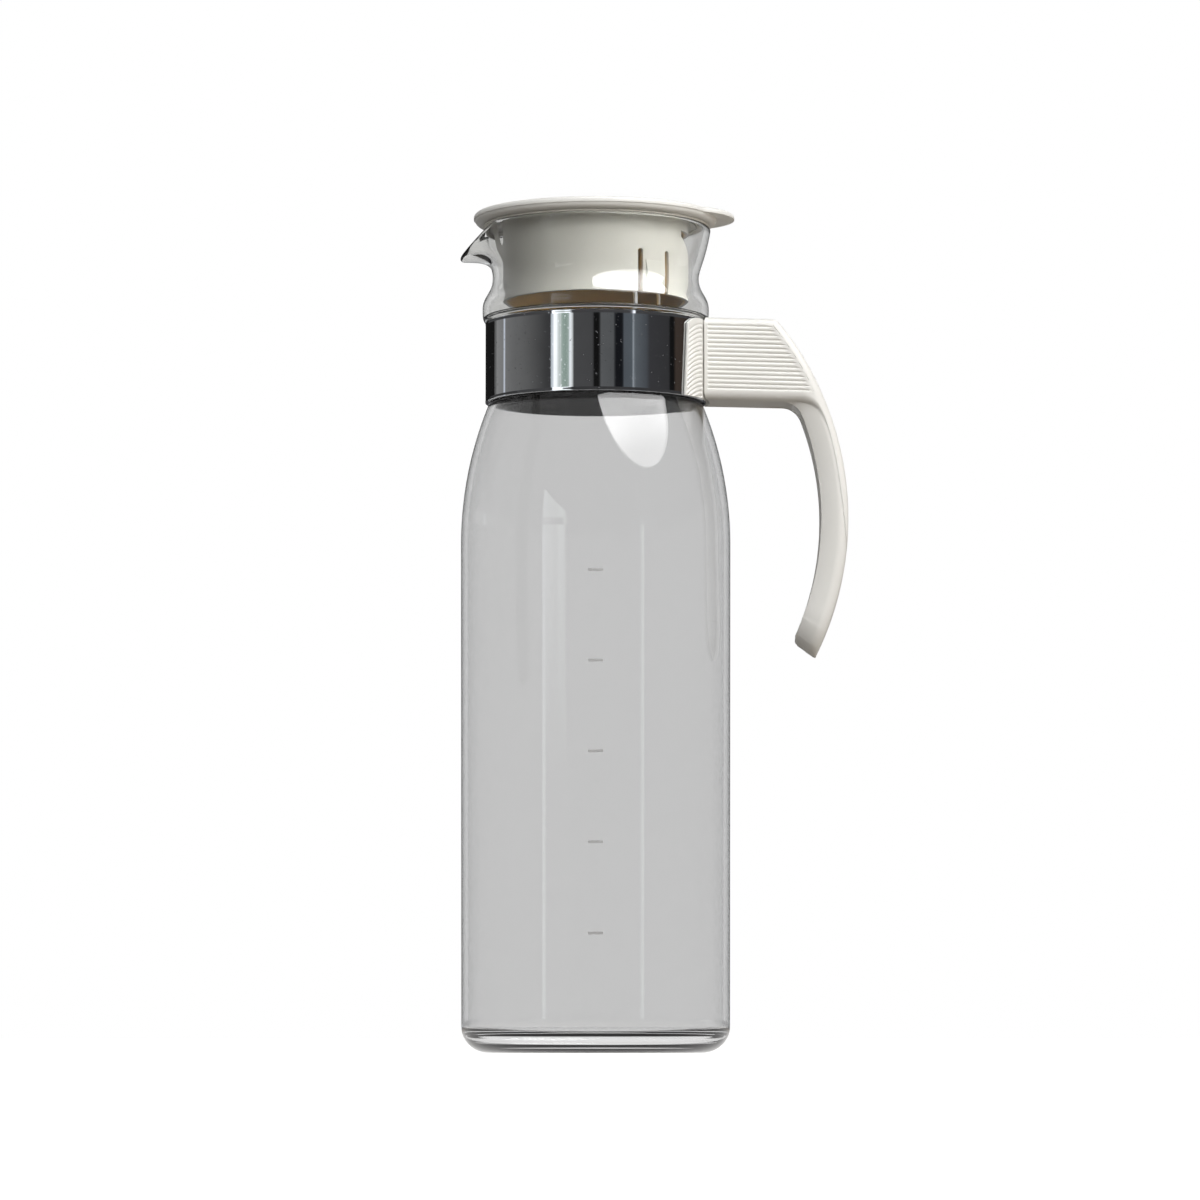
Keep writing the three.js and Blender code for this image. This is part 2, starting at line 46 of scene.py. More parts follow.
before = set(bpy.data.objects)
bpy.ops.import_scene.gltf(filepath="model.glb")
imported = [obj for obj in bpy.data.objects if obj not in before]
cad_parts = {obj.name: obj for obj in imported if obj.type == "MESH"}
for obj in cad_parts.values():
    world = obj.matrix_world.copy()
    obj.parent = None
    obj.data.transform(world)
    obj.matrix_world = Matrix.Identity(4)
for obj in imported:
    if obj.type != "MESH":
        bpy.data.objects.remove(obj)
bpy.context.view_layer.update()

MM = 0.001
MERGE_DISTANCE = 0.002 * MM
QUARTER_TURN = math.pi / 2
FULL_TURN = 2 * math.pi
CREASE_ANGLE = math.radians(35)
UP = Vector((0, 0, 1))

GLASS_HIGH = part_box("glass_body")[1]
LINER_LOW, LINER_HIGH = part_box("band_liner")
BAND_LOW, BAND_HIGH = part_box("neck_band")
SADDLE_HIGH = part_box("handle_saddle")[1]
SHELL_LOW, SHELL_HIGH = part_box("handle_shell")
COVER_LOW, COVER_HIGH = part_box("handle_inner_cover")
PLATE_LOW, PLATE_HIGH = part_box("lid_plate")
STOPPER_LOW, STOPPER_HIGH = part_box("lid_stopper")
SEAT_LOW, SEAT_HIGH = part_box("lid_seat_ring")


def length(name, description, size):
    """A property that holds a length in metres."""
    return bpy.props.FloatProperty(
        name=name, description=description, default=size, precision=5, unit="LENGTH"
    )


def turn(name, description, degrees):
    """A property that holds an angle."""
    return bpy.props.FloatProperty(
        name=name, description=description, default=math.radians(degrees), unit="ROTATION"
    )


def share(name, description, value):
    """A property that holds a part of a whole."""
    return bpy.props.FloatProperty(
        name=name, description=description, default=value, min=0.0, max=1.0, subtype="FACTOR"
    )


def amount(name, description, value):
    """A property that holds a plain number."""
    return bpy.props.FloatProperty(name=name, description=description, default=value)


def colour(name, description, red, green, blue):
    """A property that holds a colour."""
    return bpy.props.FloatVectorProperty(
        name=name, description=description, default=(red, green, blue), min=0.0, max=1.0, subtype="COLOR"
    )


class JugGlassSizes(bpy.types.PropertyGroup):
    """Sizes of the glass body."""

    body_radius: length("Body Radius", "Radius of the straight wall", GLASS_HIGH.x)
    foot_taper: length("Foot Taper", "How much narrower the wall is at the foot", 0.5 * MM)
    wall: length("Wall", "Thickness of the wall", 2.2 * MM)
    foot_corner: length("Foot Corner", "Rounding of the foot", 9 * MM)
    floor: length("Floor", "Thickness of the floor", 7 * MM)
    floor_corner: length("Floor Corner", "Rounding inside the foot", 2 * MM)
    straight_height: length("Straight Height", "Height at which the shoulder starts", 175 * MM)
    neck_bottom: length("Neck Bottom", "Height at which the shoulder ends", BAND_LOW.z - 0.2 * MM)
    neck_top: length("Neck Top", "Height at which the bulge starts", BAND_HIGH.z + 0.2 * MM)
    neck_radius: length("Neck Radius", "Radius of the glass under the band", 36.8 * MM)
    bulge_out: length("Bulge", "How far the bulge stands out from the neck", 2.4 * MM)
    bulge_rise: length("Bulge Rise", "Height of the bulge above the neck", 5 * MM)
    waist_in: length("Waist", "How far the waist lies inside the neck", 1.1 * MM)
    waist_rise: length("Waist Rise", "Height of the waist above the bulge", 10.6 * MM)
    rim_flare: length("Rim Flare", "How far the rim stands out from the waist", 4.1 * MM)
    rim_rise: length("Rim Rise", "Height of the rim above the waist", 16.5 * MM)
    lip_reach: length("Lip Reach", "How far the pouring lip stands out from the rim", 6 * MM)
    lip_drop: length("Lip Drop", "How far the pouring lip hangs below the rim", 10.6 * MM)
    lip_half_angle: turn("Lip Half Angle", "Half the angle that the pouring lip takes up", 30)


class JugBandSizes(bpy.types.PropertyGroup):
    """Sizes of the neck band and its liner."""

    liner_thickness: length("Liner", "Thickness of the soft strip", 0.5 * MM)
    thickness: length("Thickness", "Thickness of the steel", 0.6 * MM)
    edge_flare: length("Edge Flare", "How far the band's edges turn out", 0.05 * MM)
    edge_height: length("Edge Height", "Height of a turned edge", 0.4 * MM)
    lug_space: length("Lug Space", "Space between the lugs", 4 * MM)
    lug_inset: length("Lug Inset", "How much lower a lug is than the band, at each end", 5.75 * MM)


class JugHandleSizes(bpy.types.PropertyGroup):
    """Sizes of the handle: saddle, shell and cover strip."""

    saddle_radius: length("Saddle Radius", "Outside radius of the saddle's wings", 39.24 * MM)
    saddle_thickness: length("Saddle Thickness", "Thickness of the wings", 0.9 * MM)
    wing_top_angle: turn("Wing Top Angle", "Where the top of a wing ends", 35.8)
    wing_foot_angle: turn("Wing Foot Angle", "Where the foot of a wing ends", 38.8)
    wing_border: length("Wing Border", "Plain margin of a wing", 0.4 * MM)
    seam: length("Seam", "Width of the groove between wings and block", 0.5 * MM)
    seat_gap: length("Seat Gap", "Space between the saddle and the block", 0.2 * MM)
    boss_half_width: length("Boss Half Width", "Half the width of the saddle's boss", 9 * MM)
    boss_slot: length("Boss Slot", "Half the width of the boss's slot for the lugs", 2.8 * MM)
    boss_inset: length("Boss Inset", "How much lower the boss is than the band, at each end", 2.75 * MM)
    block_width: length("Block Width", "Width of the block", SHELL_HIGH.y - SHELL_LOW.y)
    block_fall: length("Block Fall", "How far the block's top and underside fall", 0.6 * MM)
    block_round: length("Block Rounding", "Rounding of the block's edges", 3 * MM)
    block_sweep: length("Block Sweep", "How far the block's lower edge bends down by its middle", 1.3 * MM)
    corner: length("Top Corner", "Rounding between the block's top and its back", 6 * MM)
    grip_width: length("Grip Width", "Width of the grip", 22.5 * MM)
    grip_thickness: length("Grip Thickness", "Thickness of the grip, back to hand side", 9.3 * MM)
    grip_radius: length("Grip Radius", "Radius of the grip's back in the side view", 106.6 * MM)
    grip_drop: length("Grip Drop", "How far the grip's centre lies below the band's middle", 54 * MM)
    grip_fillet: length("Grip Fillet", "Rounding between the block's underside and the grip", 7.5 * MM)
    grip_round: length("Grip Rounding", "Rounding of the grip's back edges", 4 * MM)
    grip_taper: length("Grip Taper", "How much narrower the grip is at its hand side", 2.4 * MM)
    grip_crown: length("Grip Crown", "How far the back is crowned", 0.25 * MM)
    grip_end_angle: turn("Grip End Angle", "Where the grip's back ends", -27)
    heel_angle: turn("Heel Angle", "Where the grip's heel starts", -24.3)
    heel_length: length("Heel Length", "Length of the straight heel", 3.3 * MM)
    heel_lean: turn("Heel Lean", "How far the heel leans to the jug", 5)
    end_round: length("End Rounding", "Rounding of the grip's lower end", 1.2 * MM)
    end_sweep: length("End Sweep", "Length over which the grip's sides turn in at its end", 14 * MM)
    end_turn_in: length("End Turn-in", "How far the grip's sides turn in at its end", 8.8 * MM)
    rib_pitch: length("Rib Pitch", "Distance from one rib to the next", 1.55 * MM)
    rib_depth: length("Rib Depth", "Depth of the valleys between ribs", 0.42 * MM)
    panel_margin: length("Panel Margin", "Plain margin round the block's ribs", 2.5 * MM)
    cover_half_width: length("Cover Half Width", "Half the width of the cover strip", COVER_HIGH.y)
    cover_sink: length("Cover Sink", "How far the cover strip lies below the hand side", 0.15 * MM)
    cover_thickness: length("Cover Thickness", "Thickness of the cover strip", 1.6 * MM)
    cover_gap: length("Cover Gap", "Space round the cover strip", 0.2 * MM)


class JugLidSizes(bpy.types.PropertyGroup):
    """Sizes of the lid: plate, stopper and seat ring."""

    tab_half_angle: turn("Tab Half Angle", "Half the angle that the thumb tab takes up", 28)
    edge_round: length("Edge Rounding", "Rounding of the plate's upper edge", 1.3 * MM)
    edge_ease: length("Edge Ease", "Rounding of the rim's lower edge", 0.05 * MM)
    undercut_rise: length("Undercut Rise", "Height of the rim above the plate's underside", 1.9 * MM)
    undercut_foot: length("Undercut Foot", "Radius at which the underside starts to rise", 39.4 * MM)
    undercut_head: length("Undercut Head", "Radius at which it has risen", 42 * MM)
    skirt_wall: length("Skirt Wall", "Thickness of the stopper's skirt", 1.9 * MM)
    flange: length("Flange", "How far the stopper's flange stands out", 1.6 * MM)
    flange_gap: length("Flange Gap", "Space round the flange in the plate", 0.2 * MM)
    window_inset: length("Window Inset", "Height of the skirt above the window", 3.6 * MM)
    window_height: length("Window Height", "Height of the pouring window", 10.6 * MM)
    window_shoulder: length("Window Shoulder", "Height of the window's upright ends", 2 * MM)
    window_half_angle: turn("Window Half Angle", "Half the angle that the window takes up", 25.5)
    tongue_angle: turn("Tongue Angle", "Angle from the window to a spring tongue", 52)
    tongue_half_angle: turn("Tongue Half Angle", "Angle from a tongue's middle to its slits", 10)
    slit_width: length("Slit Width", "Width of a slit", 1.9 * MM)
    slit_height: length("Slit Height", "Height of a slit", 14.8 * MM)
    detent_lift: length("Detent Lift", "Height of a detent above the skirt's edge", 1 * MM)
    detent_height: length("Detent Height", "Height of a detent", 10 * MM)
    detent_half_width: length("Detent Half Width", "Half the width of a detent", 3.63 * MM)
    detent_out: length("Detent Reach", "How far a detent stands out", 0.9 * MM)
    seat_width: length("Seat Width", "Width of the seat ring", 3.2 * MM)


class JugMarkSizes(bpy.types.PropertyGroup):
    """Sizes of the level marks on the glass."""

    lowest: length("Lowest Mark", "Height of the lowest mark", 40 * MM)
    step: length("Mark Step", "Height from one mark to the next", 30.5 * MM)
    count: bpy.props.IntProperty(name="Marks", description="How many marks there are", default=5, min=0)
    width: length("Mark Width", "Width of a mark", 5 * MM)
    height: length("Mark Height", "Height of a mark", 0.9 * MM)
    film: length("Film", "Thickness of the print", 0.04 * MM)


class JugColours(bpy.types.PropertyGroup):
    """Colours of the finishes."""

    body_glass: colour("Body Glass", "Tint of the body", 0.748, 0.748, 0.748)
    neck_glass: colour("Neck Glass", "Tint of the neck", 0.745, 0.745, 0.735)
    steel: colour("Steel", "Polished steel", 0.62, 0.63, 0.64)
    zinc: colour("Zinc", "Zinc plate of the clamp", 0.60, 0.61, 0.60)
    # Near black: partly painted shade of the zone under the band.
    liner: colour("Liner", "Soft strip under the band", 0.015, 0.015, 0.016)
    liner_head: colour("Liner Head", "Pale upper part of that strip", 0.74, 0.74, 0.72)
    plastic: colour("Plastic", "Warm white mouldings", 0.82, 0.812, 0.78)
    plastic_shade: colour("Plastic Shade", "Darker patches of the mouldings", 0.79, 0.78, 0.745)
    stopper: colour("Stopper", "Outside of the stopper", 0.82, 0.815, 0.75)
    # Painted shade and painted light through the plastic, for the inside of the skirt.
    painted_stopper_inside: colour("Stopper Inside", "Light that the plastic lets through", 0.75, 0.48, 0.16)
    seat: colour("Seat", "Soft seat ring", 0.80, 0.78, 0.72)
    seat_shade: colour("Seat Shade", "Darker patches of the seat ring", 0.74, 0.715, 0.65)
    mark: colour("Mark", "Print of the level marks", 0.42, 0.42, 0.42)


class JugStage(bpy.types.PropertyGroup):
    """Camera, light and floor."""

    camera_place: bpy.props.FloatVectorProperty(
        name="Camera Place",
        description="Where the camera stands",
        default=(0.0015, -1.771, 0.006),
        subtype="TRANSLATION",
    )
    camera_pitch: turn("Camera Pitch", "How far the camera looks up", 4.83)
    lens: amount("Lens", "Focal length in millimetres on a 36 mm frame", 154.5)
    ambient: share("Ambient", "Strength of the even light", 0.55)
    gloss_light: amount("Gloss Light", "Radiance of the soft box that shows in gloss, at its top", 7.5)
    gloss_fall: share("Gloss Fall", "Part of that radiance that is left at its foot", 0.48)
    gloss_turn: turn("Gloss Turn", "Angle of that soft box to the right of the camera", 52)
    gloss_rise: turn("Gloss Rise", "Angle of that soft box above the jug", 55)
    fill_light: amount("Fill Light", "Radiance of the soft box that lights matt surfaces", 2.65)
    fill_turn: turn("Fill Turn", "Angle of that soft box to the right of the camera", 30)
    fill_rise: turn("Fill Rise", "Angle of that soft box above the jug", 35)
    back_light: amount("Back Light", "Radiance of the soft box behind the jug", 0.8)
    back_turn: turn("Back Turn", "Angle of that soft box to the right of the camera", 205)
    back_rise: turn("Back Rise", "Angle of that soft box above the jug", 8)
    box_size: length("Box Size", "Width of a soft box", 1.35)
    box_distance: length("Box Distance", "Distance of a soft box", 1.2)
    floor: colour("Floor", "Colour of the floor", 0.88, 0.88, 0.88)
    floor_lift: share("Floor Lift", "White added to the floor as the camera sees it", 0.56)
    floor_bounce: colour("Floor Bounce", "Light that the floor throws back at the jug", 0.2, 0.168, 0.128)


SETTINGS = {
    "jug_glass": JugGlassSizes,
    "jug_band": JugBandSizes,
    "jug_handle": JugHandleSizes,
    "jug_lid": JugLidSizes,
    "jug_marks": JugMarkSizes,
    "jug_colours": JugColours,
    "jug_stage": JugStage,
}


def arc(centre, radius, start, end, steps):
    """Points along an arc, as two-dimensional vectors."""
    step = (end - start) / steps
    return [
        centre + radius * Vector((math.cos(start + step * i), math.sin(start + step * i)))
        for i in range(steps + 1)
    ]


def curve(start, bend, arrival, end, steps):
    """Points along a cubic curve, as two-dimensional vectors."""
    return interpolate_bezier(start, bend, arrival, end, steps + 1)


def moved_left(points, distance):
    """A line of points moved to its left-hand side."""
    last = len(points) - 1
    moved = []
    for i, place in enumerate(points):
        along = (points[min(i + 1, last)] - points[max(i - 1, 0)]).normalized()
        moved.append(place + distance * Vector((-along.y, along.x)))
    return moved


def ease(value, start, end):
    """A smooth step from 0 at start to 1 at end."""
    part = min(max((value - start) / (end - start), 0.0), 1.0)
    return part * part * (3 - 2 * part)


def mix(first, second, part):
    """The value that lies a part of the way from the first to the second."""
    return first + (second - first) * part


def add_numbered(bm, places):
    """New vertices, and the layer "order", in which each keeps its number."""
    order = bm.verts.layers.int.get("order") or bm.verts.layers.int.new("order")
    verts = [bm.verts.new(place) for place in places]
    for i, vert in enumerate(verts):
        vert[order] = i
    return verts, order


def add_line(bm, points, closed=False):
    """Numbered vertices and edges along XZ points."""
    verts, _ = add_numbered(bm, [(place[0], 0.0, place[1]) for place in points])
    pairs = list(zip(verts, verts[1:]))
    if closed:
        pairs.append((verts[-1], verts[0]))
    return verts, [bm.edges.new(pair) for pair in pairs]


def add_turned(bm, points, steps, closed=False):
    """A profile of (radius, height) points spun right round the jug's axis."""
    verts, edges = add_line(bm, points, closed)
    bmesh.ops.spin(
        bm,
        geom=verts + edges,
        cent=(0, 0, 0),
        axis=(0, 0, 1),
        angle=FULL_TURN,
        steps=steps,
        use_merge=True,
    )


def add_box(bm, low, high):
    """A box between two corners."""
    low, high = Vector(low), Vector(high)
    place = Matrix.Translation((low + high) / 2) @ Matrix.Diagonal((high - low).to_4d())
    bmesh.ops.create_cube(bm, size=1.0, matrix=place)


def add_loft(bm, rings):
    """A skin over closed rings of points, with both ends filled."""
    verts, order = add_numbered(bm, rings[0])
    edges = [bm.edges.new(pair) for pair in zip(verts, verts[1:] + verts[:1])]
    ends = list(edges)
    for ring in rings[1:]:
        made = bmesh.ops.extrude_edge_only(bm, edges=edges)["geom"]
        for vert in made:
            if isinstance(vert, bmesh.types.BMVert):
                vert.co = ring[vert[order]]
        edges = [edge for edge in made if isinstance(edge, bmesh.types.BMEdge)]
    bmesh.ops.holes_fill(bm, edges=ends + edges)


def thicken(bm, faces, place):
    """Closes an open skin: a copy of it is moved, vertex by vertex, to where place puts it."""
    made = bmesh.ops.extrude_face_region(bm, geom=faces, use_keep_orig=True)["geom"]
    for vert in made:
        if isinstance(vert, bmesh.types.BMVert):
            vert.co = place(vert.co)


def new_object(name, bm, material):
    """An object made of a bmesh, which is freed."""
    mesh = bpy.data.meshes.new(name)
    bm.to_mesh(mesh)
    bm.free()
    mesh.materials.append(material)
    made = bpy.data.objects.new(name, mesh)
    bpy.context.scene.collection.objects.link(made)
    return made


def finish_piece(name, bm, body, nodes, material):
    """A piece made of a bmesh. It rides on a body and stands for CAD nodes."""
    bmesh.ops.remove_doubles(bm, verts=bm.verts, dist=MERGE_DISTANCE)
    bmesh.ops.recalc_face_normals(bm, faces=bm.faces)
    for face in bm.faces:
        face.smooth = True
    for edge in bm.edges:
        edge.smooth = len(edge.link_faces) == 2 and edge.calc_face_angle() < CREASE_ANGLE
    piece = new_object(name, bm, material)
    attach(piece, body)
    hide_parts(*nodes)


def new_finish(name):
    """A new node material: the material, its tree and its shader."""
    material = bpy.data.materials.new(name)
    material.use_nodes = True
    return material, material.node_tree, material.node_tree.nodes["Principled BSDF"]


def feed(tree, socket, value):
    """Links a socket to a value, or sets it to a constant."""
    if isinstance(value, bpy.types.NodeSocket):
        tree.links.new(value, socket)
    else:
        socket.default_value = value


def dress(tree, node, values):
    """Sets or links the sockets of a node by name."""
    for name, value in values.items():
        feed(tree, node.inputs[name], value)


def noise(tree, scale, stretch=(1, 1, 1), detail=2.0):
    """Noise on Object coordinates, denser along the axes where stretch is larger."""
    place = tree.nodes.new("ShaderNodeTexCoord")
    mapping = tree.nodes.new("ShaderNodeMapping")
    pattern = tree.nodes.new("ShaderNodeTexNoise")
    dress(tree, mapping, {"Vector": place.outputs["Object"], "Scale": stretch})
    dress(tree, pattern, {"Vector": mapping.outputs["Vector"], "Scale": scale, "Detail": detail})
    return pattern.outputs["Fac"]


def object_place(tree):
    """A place on the piece: the place itself, and its three numbers by axis."""
    place = tree.nodes.new("ShaderNodeTexCoord").outputs["Object"]
    split = tree.nodes.new("ShaderNodeSeparateXYZ")
    tree.links.new(place, split.inputs["Vector"])
    return place, split.outputs


def mapped(tree, value, start, end, low=0.0, high=1.0):
    """Maps a number from one range to another, and holds it at the ends."""
    node = tree.nodes.new("ShaderNodeMapRange")
    ends = {"From Min": start, "From Max": end, "To Min": low, "To Max": high}
    dress(tree, node, {"Value": value, **ends})
    return node.outputs["Result"]


NOISE_LOW = 0.3
NOISE_HIGH = 0.7


def spread(tree, value, low, high):
    """Maps the usual range of a noise to a range of numbers."""
    return mapped(tree, value, NOISE_LOW, NOISE_HIGH, low, high)


def joined(tree, operation, first, second):
    """A number made of two others, each a socket or a constant."""
    node = tree.nodes.new("ShaderNodeMath")
    node.operation = operation
    for socket, value in zip(node.inputs, (first, second)):
        feed(tree, socket, value)
    return node.outputs["Value"]


def blended(tree, part, first, second, way="MIX"):
    """A colour made of two others, each a socket or a constant."""
    node = tree.nodes.new("ShaderNodeMix")
    node.data_type = "RGBA"
    node.blend_type = way
    dress(tree, node, {"Factor": part, "A": first, "B": second})
    return node.outputs["Result"]


def scaled(tint, part):
    """A colour made darker or paler."""
    return [part * shade for shade in tint]


def shades(tree, value, stops):
    """Maps a value to colours by (position, colour) stops."""
    node = tree.nodes.new("ShaderNodeValToRGB")
    ramp = node.color_ramp
    ramp.elements.remove(ramp.elements[1])
    for i, (position, tint) in enumerate(stops):
        element = ramp.elements.new(position) if i else ramp.elements[0]
        element.position = position
        element.color = (*tint, 1.0)
    tree.links.new(value, node.inputs["Fac"])
    return node.outputs["Color"]


def bump(tree, shader, value, strength, distance):
    """Gives a shader the relief of a value."""
    node = tree.nodes.new("ShaderNodeBump")
    dress(tree, node, {"Strength": strength, "Distance": distance, "Height": value})
    tree.links.new(node.outputs["Normal"], shader.inputs["Normal"])


# How the glass darkens from square on (0) to edge on (1): painted shade for its dark outlines, partly like
# the real absorption of thicker glass.
GLASS_EDGE_SHADE = [
    (0.55, (1, 1, 1)),
    (0.8, (0.85, 0.86, 0.86)),
    (0.93, (0.57, 0.58, 0.58)),
    (1.0, (0.32, 0.33, 0.33)),
]


def glass_finish():
    """Clear glass: a grey body, a lighter neck, and painted shade where it is seen edge on."""
    colours = bpy.context.scene.jug_colours
    material, tree, shader = new_finish("clear_glass_finish")
    height = mapped(tree, object_place(tree)[1]["Z"], BAND_LOW.z, BAND_HIGH.z)
    tint = shades(tree, height, [(0.1, colours.body_glass), (0.9, colours.neck_glass)])
    facing = tree.nodes.new("ShaderNodeLayerWeight")
    edge = shades(tree, facing.outputs["Facing"], GLASS_EDGE_SHADE)
    skin = {"Roughness": 0.0, "IOR": 1.47, "Transmission Weight": 1.0}
    dress(tree, shader, {"Base Color": blended(tree, 1.0, tint, edge, "MULTIPLY"), **skin})
    return material


def steel_finish():
    """Mirror-polished steel with faint rolling lines and a few duller specks."""
    steel = bpy.context.scene.jug_colours.steel
    material, tree, shader = new_finish("polished_steel_finish")
    tint = shades(tree, noise(tree, scale=90), [(0.3, steel), (0.7, scaled(steel, 0.9))])
    specks = noise(tree, scale=900, detail=1.0)
    gloss = mapped(tree, specks, start=0.68, end=0.78, low=0.035, high=0.3)
    dress(tree, shader, {"Base Color": tint, "Metallic": 1.0, "Roughness": gloss})
    lines = noise(tree, scale=40, stretch=(1, 1, 0.3))
    bump(tree, shader, lines, strength=0.03, distance=0.2 * MM)
    return material


def zinc_finish():
    """Bright zinc plate with fine lines."""
    zinc = bpy.context.scene.jug_colours.zinc
    material, tree, shader = new_finish("zinc_plate_finish")
    cloud = noise(tree, scale=400, stretch=(1, 0.1, 1))
    tint = shades(tree, cloud, [(0.35, zinc), (0.65, scaled(zinc, 0.8))])
    gloss = spread(tree, cloud, low=0.25, high=0.4)
    dress(tree, shader, {"Base Color": tint, "Metallic": 1.0, "Roughness": gloss})
    return material


# Paleness of the strip's patches, which are painted light streaks in the painted shade under the band.
LINER_STREAK_PALE = 11
LINER_HEAD_START = 0.6
LINER_HEAD_END = 0.7


def liner_finish():
    """Soft strip with a dark, shiny foil skin and a pale head, which show through the glass; its near black
    and pale patches are partly painted shade and painted light streaks under the band.
    """
    colours = bpy.context.scene.jug_colours
    dark, pale = colours.liner, scaled(colours.liner, LINER_STREAK_PALE)
    material, tree, shader = new_finish("liner_rubber_finish")
    cloud = noise(tree, scale=95, stretch=(1, 1, 0.12))
    patches = shades(tree, cloud, [(0.54, dark), (0.58, pale), (0.64, dark), (0.68, pale)])
    head = shades(tree, cloud, [(0.4, colours.liner_head), (0.7, colours.plastic_shade)])
    ends = [mix(LINER_LOW.z, LINER_HIGH.z, part) for part in (LINER_HEAD_START, LINER_HEAD_END)]
    height = mapped(tree, object_place(tree)[1]["Z"], *ends)
    gloss = spread(tree, cloud, low=0.08, high=0.2)
    foil = mapped(tree, height, start=0.0, end=1.0, low=0.9, high=0.0)
    skin = {"Roughness": gloss, "Metallic": foil}
    dress(tree, shader, {"Base Color": blended(tree, height, patches, head), **skin})
    return material


def satin_skin(tree, shader, tint):
    """Gives a shader the satin skin and the fine grain of the mouldings."""
    gloss = spread(tree, noise(tree, scale=70), low=0.34, high=0.46)
    dress(tree, shader, {"Base Color": tint, "Roughness": gloss, "IOR": 1.49, "Specular IOR Level": 0.3})
    bump(tree, shader, noise(tree, scale=2200), strength=0.06, distance=0.05 * MM)


def plastic_finish():
    """Warm white moulded plastic with slight clouding."""
    ready = bpy.data.materials.get("warm_white_finish")
    if ready:
        return ready
    colours = bpy.context.scene.jug_colours
    material, tree, shader = new_finish("warm_white_finish")
    stops = [(0.35, colours.plastic), (0.7, colours.plastic_shade)]
    satin_skin(tree, shader, shades(tree, noise(tree, scale=25, detail=3.0), stops))
    return material


# Depths inside the skirt over which the painted amber shade comes in.
PAINTED_INSIDE_START = 3.4 * MM
PAINTED_INSIDE_END = 1.7 * MM


def stopper_finish():
    """The mouldings' plastic, with a painted amber inside the skirt: painted shade for its shadowed inside
    and painted light for what the plastic lets through.
    """
    colours = bpy.context.scene.jug_colours
    material, tree, shader = new_finish("stopper_finish")
    flat = tree.nodes.new("ShaderNodeMapping")
    radius = tree.nodes.new("ShaderNodeVectorMath")
    radius.operation = "LENGTH"
    dress(tree, flat, {"Vector": object_place(tree)[0], "Scale": (1, 1, 0)})
    tree.links.new(flat.outputs["Vector"], radius.inputs[0])
    outer = -STOPPER_LOW.x
    depth = mapped(tree, radius.outputs["Value"], outer - PAINTED_INSIDE_START, outer - PAINTED_INSIDE_END)
    satin_skin(tree, shader, shades(tree, depth, [(0.1, colours.painted_stopper_inside), (0.9, colours.stopper)]))
    return material


def seat_finish():
    """Soft, slightly darker ring."""
    colours = bpy.context.scene.jug_colours
    material, tree, shader = new_finish("seat_rubber_finish")
    cloud = noise(tree, scale=120)
    tint = shades(tree, cloud, [(0.35, colours.seat), (0.7, colours.seat_shade)])
    dress(tree, shader, {"Base Color": tint, "Roughness": spread(tree, cloud, low=0.5, high=0.65)})
    bump(tree, shader, noise(tree, scale=1800), strength=0.1, distance=0.05 * MM)
    return material


def mark_finish():
    """Thin grey print, worn in places."""
    mark = bpy.context.scene.jug_colours.mark
    material, tree, shader = new_finish("level_print_finish")
    cloud = noise(tree, scale=1500)
    tint = shades(tree, cloud, [(0.4, mark), (0.7, scaled(mark, 1.12))])
    dress(tree, shader, {"Base Color": tint, "Roughness": spread(tree, cloud, low=0.4, high=0.6)})
    return material


BULGE_SPREAD = 0.9
BULGE_FOOT = 0.01
BULGE_HEAD = 0.8
WAIST_FOOT = 0.38
WAIST_HEAD = 0.48
RIM_FOOT = 0.19
RIM_SPREAD = 0.61
RIM_HEAD = 0.42
LIP_SPREAD = 0.5
BULGE_STEPS = 12
RIM_STEPS = 18


def upper_wall(sizes, pull):
    """Outside of the glass from the band to the rim. pull is 1 at the middle of the lip."""
    bulge = Vector((sizes.neck_radius + sizes.bulge_out, sizes.neck_top + sizes.bulge_rise))
    waist = Vector((sizes.neck_radius - sizes.waist_in, bulge.y + sizes.waist_rise))
    rim = waist + Vector((sizes.rim_flare, sizes.rim_rise))
    tip = rim + Vector((sizes.lip_reach, -sizes.lip_drop))
    neck = Vector((sizes.neck_radius, sizes.neck_top))
    to_bulge = curve(
        neck,
        neck + Vector((BULGE_SPREAD * sizes.bulge_out, BULGE_FOOT * sizes.bulge_rise)),
        bulge - Vector((0, BULGE_HEAD * sizes.bulge_rise)),
        bulge,
        BULGE_STEPS,
    )
    to_waist = curve(
        bulge,
        bulge + Vector((0, WAIST_FOOT * sizes.waist_rise)),
        waist - Vector((0, WAIST_HEAD * sizes.waist_rise)),
        waist,
        BULGE_STEPS,
    )
    plain_rise = waist + Vector((0, RIM_FOOT * sizes.rim_rise))
    plain_bend = waist + Vector((RIM_SPREAD * sizes.rim_flare, RIM_HEAD * sizes.rim_rise))
    lip_rise = Vector((waist.x, tip.y))
    lip_bend = Vector((waist.x + LIP_SPREAD * sizes.rim_flare, tip.y))
    to_rim = curve(
        waist,
        plain_rise.lerp(lip_rise, pull),
        plain_bend.lerp(lip_bend, pull),
        rim.lerp(tip, pull),
        RIM_STEPS,
    )
    return to_bulge + to_waist[1:] + to_rim[1:]


TURN_STEPS = 240
SHOULDER_STEPS = 28
CORNER_STEPS = 14
BEAD_STEPS = 10
# Loops that keep the shading even: parts of the straight wall, and depths below the neck's top.
WALL_LOOPS = (0.015, 0.04, 0.1, 0.3, 0.5, 0.7, 0.9, 0.97, 0.99)
BASE_LOOP = 1.5 * MM
NECK_LOOPS = (0.0, 0.6 * MM, 3 * MM, 15 * MM)


